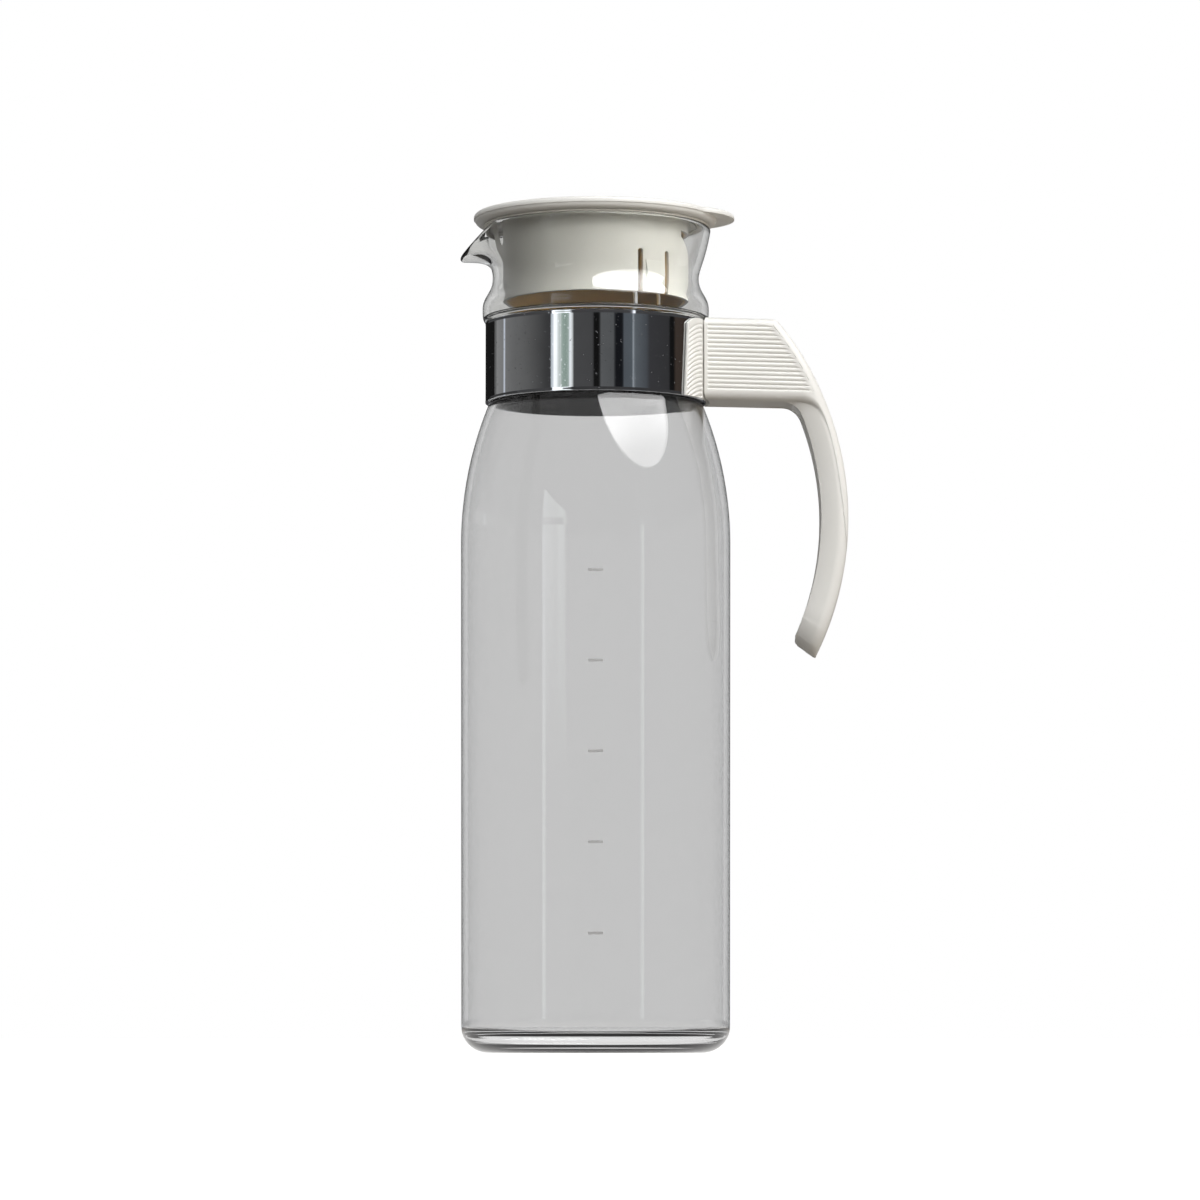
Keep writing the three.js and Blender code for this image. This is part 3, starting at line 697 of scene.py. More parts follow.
def glass_profile(sizes, pull):
    """Profile of the glass from the middle of its base round to the middle of its floor."""
    outer = upper_wall(sizes, pull)
    inner = moved_left(outer, sizes.wall)
    middle = (outer[-1] + inner[-1]) / 2
    start = outer[-1] - middle
    bead_turn = math.atan2(start.y, start.x)
    bead = arc(middle, sizes.wall / 2, bead_turn, bead_turn + math.pi, BEAD_STEPS)[1:-1]
    rise = sizes.neck_bottom - sizes.straight_height
    drop = sizes.body_radius - sizes.neck_radius
    shoulder = (rise**2 + drop**2) / (2 * drop)
    shoulder_centre = Vector((sizes.body_radius - shoulder, sizes.straight_height))
    inside = shoulder - sizes.wall
    outer_end = math.asin(rise / shoulder)
    inner_end = math.acos((sizes.neck_radius - sizes.wall - shoulder_centre.x) / inside)
    foot_radius = sizes.body_radius - sizes.foot_taper
    wall_foot = Vector((foot_radius, sizes.foot_corner))
    wall_head = Vector((sizes.body_radius, sizes.straight_height))
    straight = [wall_foot.lerp(wall_head, part) for part in WALL_LOOPS]
    thick = Vector((sizes.wall, 0))
    foot_centre = Vector((foot_radius - sizes.foot_corner, sizes.foot_corner))
    floor_centre = Vector(
        (foot_radius - sizes.wall - sizes.floor_corner, sizes.floor + sizes.floor_corner)
    )
    return [
        Vector((0, 0)),
        Vector((foot_centre.x - BASE_LOOP, 0)),
        *arc(foot_centre, sizes.foot_corner, -QUARTER_TURN, 0, CORNER_STEPS),
        *straight,
        *arc(shoulder_centre, shoulder, 0, outer_end, SHOULDER_STEPS),
        *outer,
        *bead,
        *reversed(inner),
        *(Vector((sizes.neck_radius - sizes.wall, sizes.neck_top - below)) for below in NECK_LOOPS),
        *arc(shoulder_centre, inside, inner_end, 0, SHOULDER_STEPS),
        *(place - thick for place in reversed(straight)),
        *arc(floor_centre, sizes.floor_corner, 0, -QUARTER_TURN, CORNER_STEPS),
        Vector((floor_centre.x - BASE_LOOP, sizes.floor)),
        Vector((0, sizes.floor)),
    ]


class JUG_OT_glass_body(bpy.types.Operator):
    """Blows the glass body: a turned profile, pulled out into a pouring lip"""

    bl_idname = "jug.glass_body"
    bl_label = "Glass Body"

    def execute(self, context):
        sizes = context.scene.jug_glass
        plain = glass_profile(sizes, 0.0)
        lip = glass_profile(sizes, 1.0)
        bm = bmesh.new()
        add_turned(bm, plain, TURN_STEPS)
        order = bm.verts.layers.int["order"]
        for vert in bm.verts:
            around = math.atan2(vert.co.y, vert.co.x)
            from_lip = (math.pi - abs(around)) / sizes.lip_half_angle
            if from_lip < 1:
                pull = math.cos(from_lip * QUARTER_TURN) ** 2
                place = plain[vert[order]].lerp(lip[vert[order]], pull)
                vert.co = (place.x * math.cos(around), place.x * math.sin(around), place.y)
        finish_piece("glass_vessel", bm, "jug", ["glass_body"], glass_finish())
        return {"FINISHED"}


def add_open_ring(bm, section, open_angle, steps):
    """A closed section of (radius, height) points spun round, with a gap towards the handle."""
    verts, edges = add_line(bm, section, closed=True)
    bmesh.ops.rotate(bm, verts=verts, cent=(0, 0, 0), matrix=Matrix.Rotation(open_angle, 3, "Z"))
    bmesh.ops.spin(
        bm,
        geom=verts + edges,
        cent=(0, 0, 0),
        axis=(0, 0, 1),
        angle=FULL_TURN - 2 * open_angle,
        steps=steps,
    )
    bmesh.ops.holes_fill(bm, edges=bm.edges)


BAND_STEPS = 256
LINER_STEPS = 192


class JUG_OT_neck_band(bpy.types.Operator):
    """Rolls the steel band with its two lugs, and the soft strip under it"""

    bl_idname = "jug.neck_band"
    bl_label = "Neck Band"

    def execute(self, context):
        sizes = context.scene.jug_band
        outer = -BAND_LOW.x
        inner = outer - sizes.thickness
        low, high = BAND_LOW.z, BAND_HIGH.z
        flared = outer + sizes.edge_flare
        section = [
            (inner, low),
            (flared, low),
            (flared, low + sizes.edge_height),
            (outer, low + 2 * sizes.edge_height),
            (outer, low + 3 * sizes.edge_height),
            (outer, high - 3 * sizes.edge_height),
            (outer, high - 2 * sizes.edge_height),
            (flared, high - sizes.edge_height),
            (flared, high),
            (inner, high),
        ]
        open_angle = math.asin(sizes.lug_space / 2 / inner)
        bm = bmesh.new()
        add_open_ring(bm, section, open_angle, BAND_STEPS)
        for side in (-1, 1):
            near, far = sorted((side * sizes.lug_space / 2, side * (sizes.lug_space / 2 + sizes.thickness)))
            add_box(
                bm,
                ((inner + outer) / 2, near, low + sizes.lug_inset),
                (BAND_HIGH.x, far, high - sizes.lug_inset),
            )
        finish_piece("neck_band_strip", bm, "jug", ["neck_band"], steel_finish())

        outer = -LINER_LOW.x
        inner = outer - sizes.liner_thickness
        low, high = LINER_LOW.z, LINER_HIGH.z
        bm = bmesh.new()
        section = [(inner, low), (outer, low), (outer, high), (inner, high)]
        add_open_ring(bm, section, open_angle, LINER_STEPS)
        finish_piece("liner_strip", bm, "jug", ["band_liner"], liner_finish())
        return {"FINISHED"}


class JUG_OT_clamp(bpy.types.Operator):
    """Plates the screw, the washer and the nut of the band's clamp"""

    bl_idname = "jug.clamp"
    bl_label = "Clamp"

    def execute(self, context):
        finish = zinc_finish()
        for name in ("clamp_screw", "clamp_washer", "clamp_nut"):
            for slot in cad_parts[name].material_slots:
                slot.material = finish
        return {"FINISHED"}


def valley_depth(below_first, count, sizes, panel):
    """Depth of a face with half-round ribs at a height below its first valley.

    panel falls from 1 to 0 at the panel's edges, where the valleys run out to points.
    """
    half = sizes.rib_pitch / 2
    nearest = min(max(round(below_first / sizes.rib_pitch), 0), count - 1)
    away = abs(below_first - nearest * sizes.rib_pitch)
    return sizes.rib_depth * max(0.0, max(0.0, 1 - away / half) ** 2 - 1 + panel)


WING_COLUMNS = 220
WING_ROWS = 142
WING_FIRST_VALLEY = 1.84 * MM
WING_VALLEYS = 17
WING_BEND = 30.0
WING_TOP_DROP = 0.000572 * MM
WING_TOP_POWER = 3.52
WING_RIB_START = 0.6 * MM
WING_RIB_FULL = 1.0 * MM
WING_BORDER_RUN = 1.5
SEAM_DEPTH = 0.5 * MM
SEAM_RUN = 0.1 * MM
WING_EDGE_DEPTH = 0.25 * MM
WING_EDGE_RUN = 0.4 * MM


class JUG_OT_handle_saddle(bpy.types.Operator):
    """Moulds the saddle: two ribbed wings that hug the band, and the boss inside the block"""

    bl_idname = "jug.handle_saddle"
    bl_label = "Handle Saddle"

    def execute(self, context):
        sizes = context.scene.jug_handle
        low, high = BAND_LOW.z, BAND_HIGH.z
        height = high - low
        radius = sizes.saddle_radius
        seam_angle = math.asin((sizes.block_width / 2 + sizes.seam) / radius)
        bm = bmesh.new()
        bmesh.ops.create_grid(bm, x_segments=WING_COLUMNS, y_segments=WING_ROWS, size=1.0)
        for vert in bm.verts:
            across = vert.co.x
            level = (vert.co.y + 1) / 2
            edge = mix(sizes.wing_foot_angle, sizes.wing_top_angle, level)
            around = across * edge
            out = max(0.0, abs(around) - seam_angle) * radius
            to_edge = (edge - abs(around)) * radius
            below = (1 - level) * height
            rib_drop = WING_BEND * out**2
            top_drop = WING_TOP_DROP * (out / MM) ** WING_TOP_POWER
            drop = mix(top_drop, rib_drop, ease(below, 0, WING_FIRST_VALLEY))
            panel = ease(out, WING_RIB_START, WING_RIB_FULL)
            panel *= ease(to_edge, sizes.wing_border, WING_BORDER_RUN * sizes.wing_border)
            depth = valley_depth(below - WING_FIRST_VALLEY, WING_VALLEYS, sizes, panel)
            depth += SEAM_DEPTH * (1 - ease(out, 0, SEAM_RUN))
            depth += WING_EDGE_DEPTH * (1 - ease(to_edge, 0, WING_EDGE_RUN))
            reach = radius - depth
            vert.co = (reach * math.cos(around), reach * math.sin(around), high - below - drop)
        bmesh.ops.bisect_plane(
            bm,
            geom=bm.verts[:] + bm.edges[:] + bm.faces[:],
            plane_co=(0, 0, low),
            plane_no=(0, 0, -1),
            clear_outer=True,
        )
        inside = radius - sizes.saddle_thickness

        def to_inside(place):
            flat = Vector((place.x, place.y)).normalized() * inside
            return (flat.x, flat.y, place.z)

        thicken(bm, bm.faces[:], to_inside)
        for side in (-1, 1):
            near, far = sorted((side * sizes.boss_slot, side * sizes.boss_half_width))
            add_box(
                bm,
                (inside + sizes.saddle_thickness / 3, near, low + sizes.boss_inset),
                (SADDLE_HIGH.x, far, high - sizes.boss_inset),
            )
        add_box(
            bm,
            (BAND_HIGH.x + sizes.seat_gap, -sizes.boss_slot, low + sizes.boss_inset),
            (SADDLE_HIGH.x, sizes.boss_slot, high - sizes.boss_inset),
        )
        finish_piece("handle_wings", bm, "jug", ["handle_saddle"], plastic_finish())
        return {"FINISHED"}


BLOCK_SECTIONS = 56
FAN_SECTIONS = 72
CORNER_SECTIONS = 12
GRIP_SECTIONS = 64
HEEL_SECTIONS = 10
END_SECTIONS = 8
SIDE_POINTS = 64
BACK_POINTS = 10
PANEL_COLUMNS = 72
PANEL_VALLEYS = 15
PANEL_FIRST_VALLEY = 3.0 * MM
PANEL_ROWS = 140
COVER_LEAD = 4 * MM
SWEEP_RUN = 10 * MM
SWEEP_POWER = 4.6
CREASE_ROUND = 0.45 * MM
RIB_RUN_OUT = 1.8 * MM
STEP_PART = 0.05
COVER_END_PART = 0.4
COVER_END_RISE = 0.7 * MM
COVER_EASE = 0.25 * MM
GRIP_NARROW_PART = 0.75
GRIP_NARROW_END = 52 * MM
GRIP_WIDE_START = 64 * MM
BLOCK_FADE_START = 72 * MM
BLOCK_FADE_END = 82 * MM
BLOCK_FADE_INSET = 0.3 * MM
BLOCK_UNDER_SLOPE = 3
HEEL_BACK_PART = 0.45
CHANNEL_MARGIN = 0.2 * MM
CHANNEL_LEAN = 0.05 * MM
HOLLOW_START = 1.2 * MM
HOLLOW_DEPTH = 25.0 * MM
HOLLOW_MARGIN = 0.2 * MM
PANEL_START = 0.7 * MM
PANEL_OVER = 0.8 * MM
PANEL_REACH = 0.3 * MM
PANEL_PROUD = 0.015 * MM
RIB_START = 0.3 * MM
RIB_FULL = 0.7 * MM
RIB_END_PART = 0.15


class HandleLines:
    """The handle's side view: lines along its hand side and its back, and its half width."""

    def __init__(self, sizes):
        self.sizes = sizes
        self.half_block = sizes.block_width / 2
        self.half_grip = sizes.grip_width / 2
        self.seat = sizes.saddle_radius + sizes.seat_gap
        self.start = math.sqrt(self.seat**2 - self.half_block**2)
        self.top = SHELL_HIGH.z
        self.under = BAND_LOW.z
        self.inner = sizes.grip_radius - sizes.grip_thickness
        middle = (BAND_LOW.z + BAND_HIGH.z) / 2
        self.centre = Vector((SHELL_HIGH.x - sizes.grip_radius, middle - sizes.grip_drop))
        self.fillet = self.corner_centre(self.under - sizes.block_fall, sizes.grip_fillet, self.inner)
        self.corner = self.corner_centre(self.top - sizes.block_fall, sizes.corner, sizes.grip_radius)
        self.fillet_turn = self.turn_of(self.fillet)
        self.corner_turn = self.turn_of(self.corner)

    def corner_centre(self, level, rounding, reach):
        """Centre of a round corner between a level line and an arc about the grip's centre."""
        height = level - rounding
        span = math.sqrt((reach - rounding) ** 2 - (height - self.centre.y) ** 2)
        return Vector((self.centre.x + span, height))

    def turn_of(self, place):
        """Angle of a place about the grip's centre."""
        return math.atan2(place.y - self.centre.y, place.x - self.centre.x)

    def top_at(self, x):
        """Height of the block's top."""
        return self.top - self.sizes.block_fall * (x - self.start) / (self.corner.x - self.start)

    def lower_edge(self, x):
        """Height of the block's lower edge, which bends down towards the grip's back."""
        fall = self.sizes.block_fall * min((x - self.start) / (self.fillet.x - self.start), 1.0)
        sweep = (max(0.0, x - self.fillet.x) / SWEEP_RUN) ** SWEEP_POWER
        return self.under - fall - self.sizes.block_sweep * sweep

    def behind(self, place):
        """Distance from a place to the block's top or the handle's back."""
        to_back = self.sizes.grip_radius - (place - self.centre).length
        return max(0.0, min(self.top_at(place.x) - place.y, to_back))

    def rounded(self, half, rounding, depth):
        """Half width at a depth below an edge that is rounded."""
        short = rounding - min(max(depth, 0.0), rounding)
        return half - rounding + math.sqrt(rounding**2 - short**2)

    def half_width(self, place, from_hand):
        """Half the handle's width at a place in its side view."""
        sizes = self.sizes
        behind = self.behind(place)
        widening = ease(place.x, GRIP_NARROW_END, GRIP_WIDE_START)
        half = self.half_grip * mix(GRIP_NARROW_PART, 1.0, widening)
        half -= sizes.grip_taper * max(0.0, 1 - from_hand / sizes.grip_thickness) ** 2
        grip = self.rounded(half, sizes.grip_round, behind)
        above = place.y - self.lower_edge(place.x)
        fading = ease(place.x, BLOCK_FADE_START, BLOCK_FADE_END)
        half = mix(self.half_block, self.half_grip - BLOCK_FADE_INSET, fading)
        block = min(
            self.rounded(half, sizes.block_round, behind),
            self.rounded(half, sizes.block_round, above),
        )
        block += BLOCK_UNDER_SLOPE * min(above, 0.0)
        gap = block - grip
        return (block + grip + math.sqrt(gap**2 + CREASE_ROUND**2)) / 2

    def sections(self):
        """Pairs of places on the hand side and on the back, from the seat to the lower end."""
        sizes = self.sizes
        hand = []
        back = []
        hand_start = Vector((self.start, self.under))
        hand_end = self.fillet + Vector((0, sizes.grip_fillet))
        back_start = Vector((self.start, self.top))
        back_end = self.corner + Vector((0, sizes.corner))
        for i in range(BLOCK_SECTIONS):
            hand.append(hand_start.lerp(hand_end, i / BLOCK_SECTIONS))
            back.append(back_start.lerp(back_end, i / BLOCK_SECTIONS))
        hand += arc(self.fillet, sizes.grip_fillet, QUARTER_TURN, self.fillet_turn, FAN_SECTIONS)
        back += arc(self.corner, sizes.corner, QUARTER_TURN, self.corner_turn, CORNER_SECTIONS)
        back += arc(
            self.centre,
            sizes.grip_radius,
            self.corner_turn,
            self.fillet_turn,
            FAN_SECTIONS - CORNER_SECTIONS,
        )[1:]
        heel_back = mix(sizes.heel_angle, sizes.grip_end_angle, HEEL_BACK_PART)
        hand += arc(self.centre, self.inner, self.fillet_turn, sizes.heel_angle, GRIP_SECTIONS)[1:]
        back += arc(self.centre, sizes.grip_radius, self.fillet_turn, heel_back, GRIP_SECTIONS)[1:]
        lean = sizes.heel_length * Vector((-math.sin(sizes.heel_lean), -math.cos(sizes.heel_lean)))
        lean *= 1 - sizes.end_round / sizes.heel_length
        end = sizes.grip_end_angle + sizes.end_round / sizes.grip_radius
        heel = hand[-1]
        hand += [heel + lean * (i + 1) / HEEL_SECTIONS for i in range(HEEL_SECTIONS)]
        back += arc(self.centre, sizes.grip_radius, heel_back, end, HEEL_SECTIONS)[1:]
        return hand, back

    def cover_range(self, hand):
        """Numbers of the first and the last section that the cover strip reaches."""
        lead = COVER_LEAD / (self.fillet.x - self.start) * BLOCK_SECTIONS
        last = max(i for i, place in enumerate(hand) if place.y > COVER_LOW.z + COVER_END_RISE)
        return BLOCK_SECTIONS - round(lead), last

    def in_panel(self, x, y):
        """Whether a place of the side view lies well inside the ribbed panel."""
        if x < self.start + HOLLOW_START or y < self.top_at(x) - HOLLOW_DEPTH:
            return False
        return self.behind(Vector((x, y))) > self.sizes.panel_margin + HOLLOW_MARGIN


def handle_ring(lines, hand, back, seat_part, recess, shrink, to_end):
    """Ring of points round one section of the handle's shell."""
    sizes = lines.sizes
    near_end = max(0.0, 1 - to_end / sizes.end_sweep)
    turn_in = sizes.end_turn_in * (1 - math.sqrt(1 - near_end**2))
    across = (back - hand).normalized()
    hand = hand + across * shrink
    back = back - across * shrink
    span = (back - hand).length

    def point(place, y):
        shift = seat_part * (math.sqrt(lines.seat**2 - y**2) - lines.start)
        return Vector((place.x + shift, y, place.y))

    side = []
    for i in range(SIDE_POINTS + 1):
        part = (1 - math.cos(math.pi * i / SIDE_POINTS)) / 2
        place = hand.lerp(back, part)
        half = lines.half_width(place, part * span) - shrink - turn_in
        if lines.in_panel(place.x, place.y):
            half -= 2 * sizes.rib_depth
        side.append((place, half))
    half = side[-1][1]
    crown = []
    for i in range(1, BACK_POINTS):
        y = half * (1 - 2 * i / BACK_POINTS)
        rise = sizes.grip_crown * (1 - (y / half) ** 2) * (1 - seat_part)
        crown.append(point(back + across * rise, y))
    edge = min(sizes.cover_half_width + sizes.cover_gap, side[0][1] - CHANNEL_MARGIN)
    floor = hand + across * recess
    channel = [
        point(hand, -edge),
        point(floor, -edge + CHANNEL_LEAN),
        point(floor, 0),
        point(floor, edge - CHANNEL_LEAN),
        point(hand, edge),
    ]
    near = [point(place, half) for place, half in side]
    far = [point(place, -half) for place, half in reversed(side)]
    return near + crown + far + channel


def add_rib_panel(bm, lines, side):
    """The ribbed panel on one side of the block, let into the shell with a flush margin."""
    sizes = lines.sizes
    made = bmesh.ops.create_grid(bm, x_segments=PANEL_COLUMNS, y_segments=PANEL_ROWS, size=1.0)
    left = lines.start + PANEL_START
    height = (PANEL_VALLEYS - 1) * sizes.rib_pitch + 2 * PANEL_OVER
    first = lines.top - PANEL_FIRST_VALLEY
    for vert in made["verts"]:
        part = (1 - math.cos(math.pi * (vert.co.x + 1) / 2)) / 2
        below = (1 - vert.co.y) / 2 * height - PANEL_OVER
        level = first - below
        reach = sizes.grip_radius - sizes.panel_margin + PANEL_REACH
        right = lines.centre.x + math.sqrt(reach**2 - (level - lines.centre.y) ** 2)
        x = mix(left, right, part)
        z = level - sizes.block_fall * (x - lines.start) / (lines.corner.x - lines.start)
        panel = ease(x, left + RIB_START, left + RIB_FULL)
        panel *= min(1.0, max(0.0, (right - x) / RIB_RUN_OUT - RIB_END_PART))
        half = lines.half_width(Vector((x, z)), z - lines.under)
        half += PANEL_PROUD - valley_depth(below, PANEL_VALLEYS, sizes, panel)
        vert.co = (x, side * half, z)
    faces = list({face for vert in made["verts"] for face in vert.link_faces})
    inside = side * (lines.half_block - 2 * sizes.rib_depth)
    thicken(bm, faces, lambda place: (place.x, inside, place.z))


class JUG_OT_handle_shell(bpy.types.Operator):
    """Moulds the shell: a ribbed block that runs out into a curved grip with an open end"""

    bl_idname = "jug.handle_shell"
    bl_label = "Handle Shell"

    def execute(self, context):
        sizes = context.scene.jug_handle
        lines = HandleLines(sizes)
        hand, back = lines.sections()
        first, last = lines.cover_range(hand)
        sunk = sizes.cover_sink + sizes.cover_thickness + 0.5 * sizes.cover_gap
        rings = []
        for i, (near, far) in enumerate(zip(hand, back)):
            seat_part = max(0.0, 1 - i / BLOCK_SECTIONS)
            recess = sunk if first < i <= last else 0.0
            to_end = ((near + far) / 2 - (hand[-1] + back[-1]) / 2).length + sizes.end_round
            rings.append(handle_ring(lines, near, far, seat_part, recess, 0.0, to_end))
            if i in (first, last):
                step = STEP_PART * (hand[i + 1] - near)
                recess = sunk if i == first else 0.0
                rings.append(handle_ring(lines, near + step, far + step, seat_part, recess, 0.0, to_end))
        along = (hand[-1] - hand[-2]).normalized()
        for i in range(1, END_SECTIONS + 1):
            bend = QUARTER_TURN * i / END_SECTIONS
            step = along * sizes.end_round * math.sin(bend)
            shrink = sizes.end_round * (1 - math.cos(bend))
            to_end = sizes.end_round * (1 - math.sin(bend))
            rings.append(handle_ring(lines, hand[-1] + step, back[-1] + step, 0.0, 0.0, shrink, to_end))
        bm = bmesh.new()
        add_loft(bm, rings)
        for side in (-1, 1):
            add_rib_panel(bm, lines, side)
        finish_piece("handle_moulding", bm, "jug", ["handle_shell"], plastic_finish())
        return {"FINISHED"}


class JUG_OT_handle_cover(bpy.types.Operator):
    """Moulds the strip that closes the grip on its hand side"""

    bl_idname = "jug.handle_cover"
    bl_label = "Handle Cover"

    def execute(self, context):
        sizes = context.scene.jug_handle
        lines = HandleLines(sizes)
        hand, back = lines.sections()
        first, last = lines.cover_range(hand)
        half = sizes.cover_half_width
        rings = []
        hand[first] = hand[first].lerp(hand[first + 1], COVER_END_PART)
        hand[last] = hand[last].lerp(hand[last - 1], COVER_END_PART)
        for near, far in zip(hand[first : last + 1], back[first : last + 1]):
            across = (far - near).normalized()
            face = near + across * sizes.cover_sink
            eased = face + across * COVER_EASE
            floor = face + across * sizes.cover_thickness
            ring = []
            for side in (1, -1):
                edge = [(floor, half), (eased, half), (face, half - COVER_EASE)]
                for place, y in edge if side == 1 else reversed(edge):
                    ring.append(Vector((place.x, side * y, place.y)))
            rings.append(ring)
        bm = bmesh.new()
        add_loft(bm, rings)
        finish_piece("handle_strip", bm, "jug", ["handle_inner_cover"], plastic_finish())
        return {"FINISHED"}


RIM_POINTS = 200
TAB_POINTS = 48


def plate_outline(sizes):
    """Outline of the lid's plate: a circle with a broad thumb tab towards +X."""
    radius = -PLATE_LOW.x
    root = radius * Vector((math.cos(sizes.tab_half_angle), math.sin(sizes.tab_half_angle)))
    depth = PLATE_HIGH.x - root.x
    tab_radius = (depth**2 + root.y**2) / (2 * depth)
    tab_centre = Vector((PLATE_HIGH.x - tab_radius, 0))
    tab_turn = math.atan2(root.y, root.x - tab_centre.x)
    rim_end = FULL_TURN - sizes.tab_half_angle
    rim = arc(Vector((0, 0)), radius, sizes.tab_half_angle, rim_end, RIM_POINTS)
    tab = arc(tab_centre, tab_radius, -tab_turn, tab_turn, TAB_POINTS)
    return rim + tab[1:-1]


UNDERCUT_STEPS = 8
LIP_STEPS = 4
EDGE_STEPS = 8


class JUG_OT_lid_plate(bpy.types.Operator):
    """Moulds the lid's plate: a disc with a thin rim, a thumb tab and a recess underneath"""

    bl_idname = "jug.lid_plate"
    bl_label = "Lid Plate"

    def execute(self, context):
        sizes = context.scene.jug_lid
        low, high = PLATE_LOW.z, PLATE_HIGH.z
        outline = plate_outline(sizes)
        last = len(outline) - 1
        inward = []
        for i in range(len(outline)):
            along = outline[0 if i == last else i + 1] - outline[i - 1]
            inward.append(Vector((-along.y, along.x)).normalized())

        def round_ring(radius, height):
            return [(*(radius * place.normalized()), height) for place in outline]

        def rim_ring(inset, height):
            return [(*(place + inset * side), height) for place, side in zip(outline, inward)]

        lip = low + sizes.undercut_rise
        recess = -STOPPER_LOW.x + sizes.flange_gap
        recess_top = STOPPER_HIGH.z + sizes.flange_gap
        undercut_run = sizes.undercut_head - 2 * sizes.edge_ease - sizes.undercut_foot
        rings = [round_ring(recess, recess_top), round_ring(recess, low)]
        for place in arc(Vector((0, 1)), 1, 3 * QUARTER_TURN, FULL_TURN, UNDERCUT_STEPS):
            radius = sizes.undercut_foot + place.x * undercut_run
            rings.append(round_ring(radius, low + place.y * sizes.undercut_rise))
        lip_centre = Vector((sizes.edge_ease, lip + sizes.edge_ease))
        edge_centre = Vector((sizes.edge_round, high - sizes.edge_round))
        rim = arc(lip_centre, sizes.edge_ease, 3 * QUARTER_TURN, math.pi, LIP_STEPS)
        rim += arc(edge_centre, sizes.edge_round, math.pi, QUARTER_TURN, EDGE_STEPS)
        rings += [rim_ring(*place) for place in rim]
        rings.append(rim_ring(2 * sizes.edge_round, high))
        bm = bmesh.new()
        add_loft(bm, rings)
        finish_piece("lid_disc", bm, "lid", ["lid_plate"], plastic_finish())
        return {"FINISHED"}


def cut_faces(bm, faces, place, normal):
    """Cuts some faces along a plane, without removing any."""
    geometry = set(faces)
    for face in faces:
        geometry.update(face.verts)
        geometry.update(face.edges)
    bmesh.ops.bisect_plane(
        bm, geom=list(geometry), plane_co=place, plane_no=normal, dist=MERGE_DISTANCE
    )


def turned_side(face, around):
    """Place of a face's middle: ahead along an angle about the axis, aside of it, and its height."""
    middle = face.calc_center_median()
    ahead = middle.x * math.cos(around) + middle.y * math.sin(around)
    aside = middle.y * math.cos(around) - middle.x * math.sin(around)
    return ahead, aside, middle.z


def faces_near(bm, around, reach):
    """The faces ahead at an angle about the axis, and no further aside than a reach."""
    found = []
    for face in bm.faces:
        ahead, aside, _ = turned_side(face, around)
        if ahead > 0 and abs(aside) < reach:
            found.append(face)
    return found


SLIT_NEAR = 4
SLIT_CORNER = 0.6


def cut_slit(bm, sizes, around, bottom):
    """A slit with a blunt top through the stopper's skirt at an angle."""
    half = sizes.slit_width / 2
    top = bottom + sizes.slit_height
    corner = top - SLIT_CORNER * half
    ahead = Vector((math.cos(around), math.sin(around), 0))
    aside = Vector((-ahead.y, ahead.x, 0))

    def near():
        return faces_near(bm, around, SLIT_NEAR * half)

    for side in (-1, 1):
        cut_faces(bm, near(), aside * side * half, aside)
        slope = aside * side + UP
        cut_faces(bm, near(), aside * side * half + Vector((0, 0, corner)), slope)
    cut_faces(bm, near(), Vector((0, 0, top)), UP)
    removed = []
    for face in near():
        _, across, height = turned_side(face, around)
        if abs(across) < half and height < top and abs(across) + height < half + corner:
            removed.append(face)
    bmesh.ops.delete(bm, geom=removed, context="FACES")


WINDOW_NEAR = 1.2


def cut_window(bm, sizes, radius, plate_bottom):
    """The pouring window: a notch towards +X, wide at its top and narrowing down."""
    half = radius * math.sin(sizes.window_half_angle)
    top = plate_bottom - sizes.window_inset
    shoulder = top - sizes.window_shoulder
    apex = top - sizes.window_height

    def near():
        return faces_near(bm, 0.0, WINDOW_NEAR * half)

    slope = (shoulder - apex) / half
    cut_faces(bm, near(), Vector((0, 0, top)), UP)
    for side in (-1, 1):
        cut_faces(bm, near(), Vector((0, side * half, 0)), Vector((0, 1, 0)))
        cut_faces(bm, near(), Vector((0, 0, apex)), Vector((0, -side * slope, 1)))
    removed = []
    for face in near():
        middle = face.calc_center_median()
        if abs(middle.y) < half and apex + slope * abs(middle.y) < middle.z < top:
            removed.append(face)
    bmesh.ops.delete(bm, geom=removed, context="FACES")


def add_detent(bm, sizes, radius, around, bottom):
    """A wedge on the outside of a spring tongue."""
    root = radius - sizes.skirt_wall / 2
    low = bottom + sizes.detent_lift
    outline = [
        (root, low),
        (radius, low),
        (radius + sizes.detent_out, low + sizes.detent_height / 2),
        (radius, low + sizes.detent_height),
        (root, low + sizes.detent_height),
    ]
    verts, _ = add_line(bm, outline, closed=True)
    bmesh.ops.translate(bm, verts=verts, vec=(0, -sizes.detent_half_width, 0))
    face = bm.faces.new(verts)
    made = bmesh.ops.extrude_face_region(bm, geom=[face], use_keep_orig=True)["geom"]
    raised = [vert for vert in made if isinstance(vert, bmesh.types.BMVert)]
    bmesh.ops.translate(bm, verts=raised, vec=(0, 2 * sizes.detent_half_width, 0))
    bmesh.ops.rotate(bm, verts=verts + raised, cent=(0, 0, 0), matrix=Matrix.Rotation(around, 3, "Z"))


SKIRT_LEVELS = 26
FLANGE_LIFT = 0.02 * MM


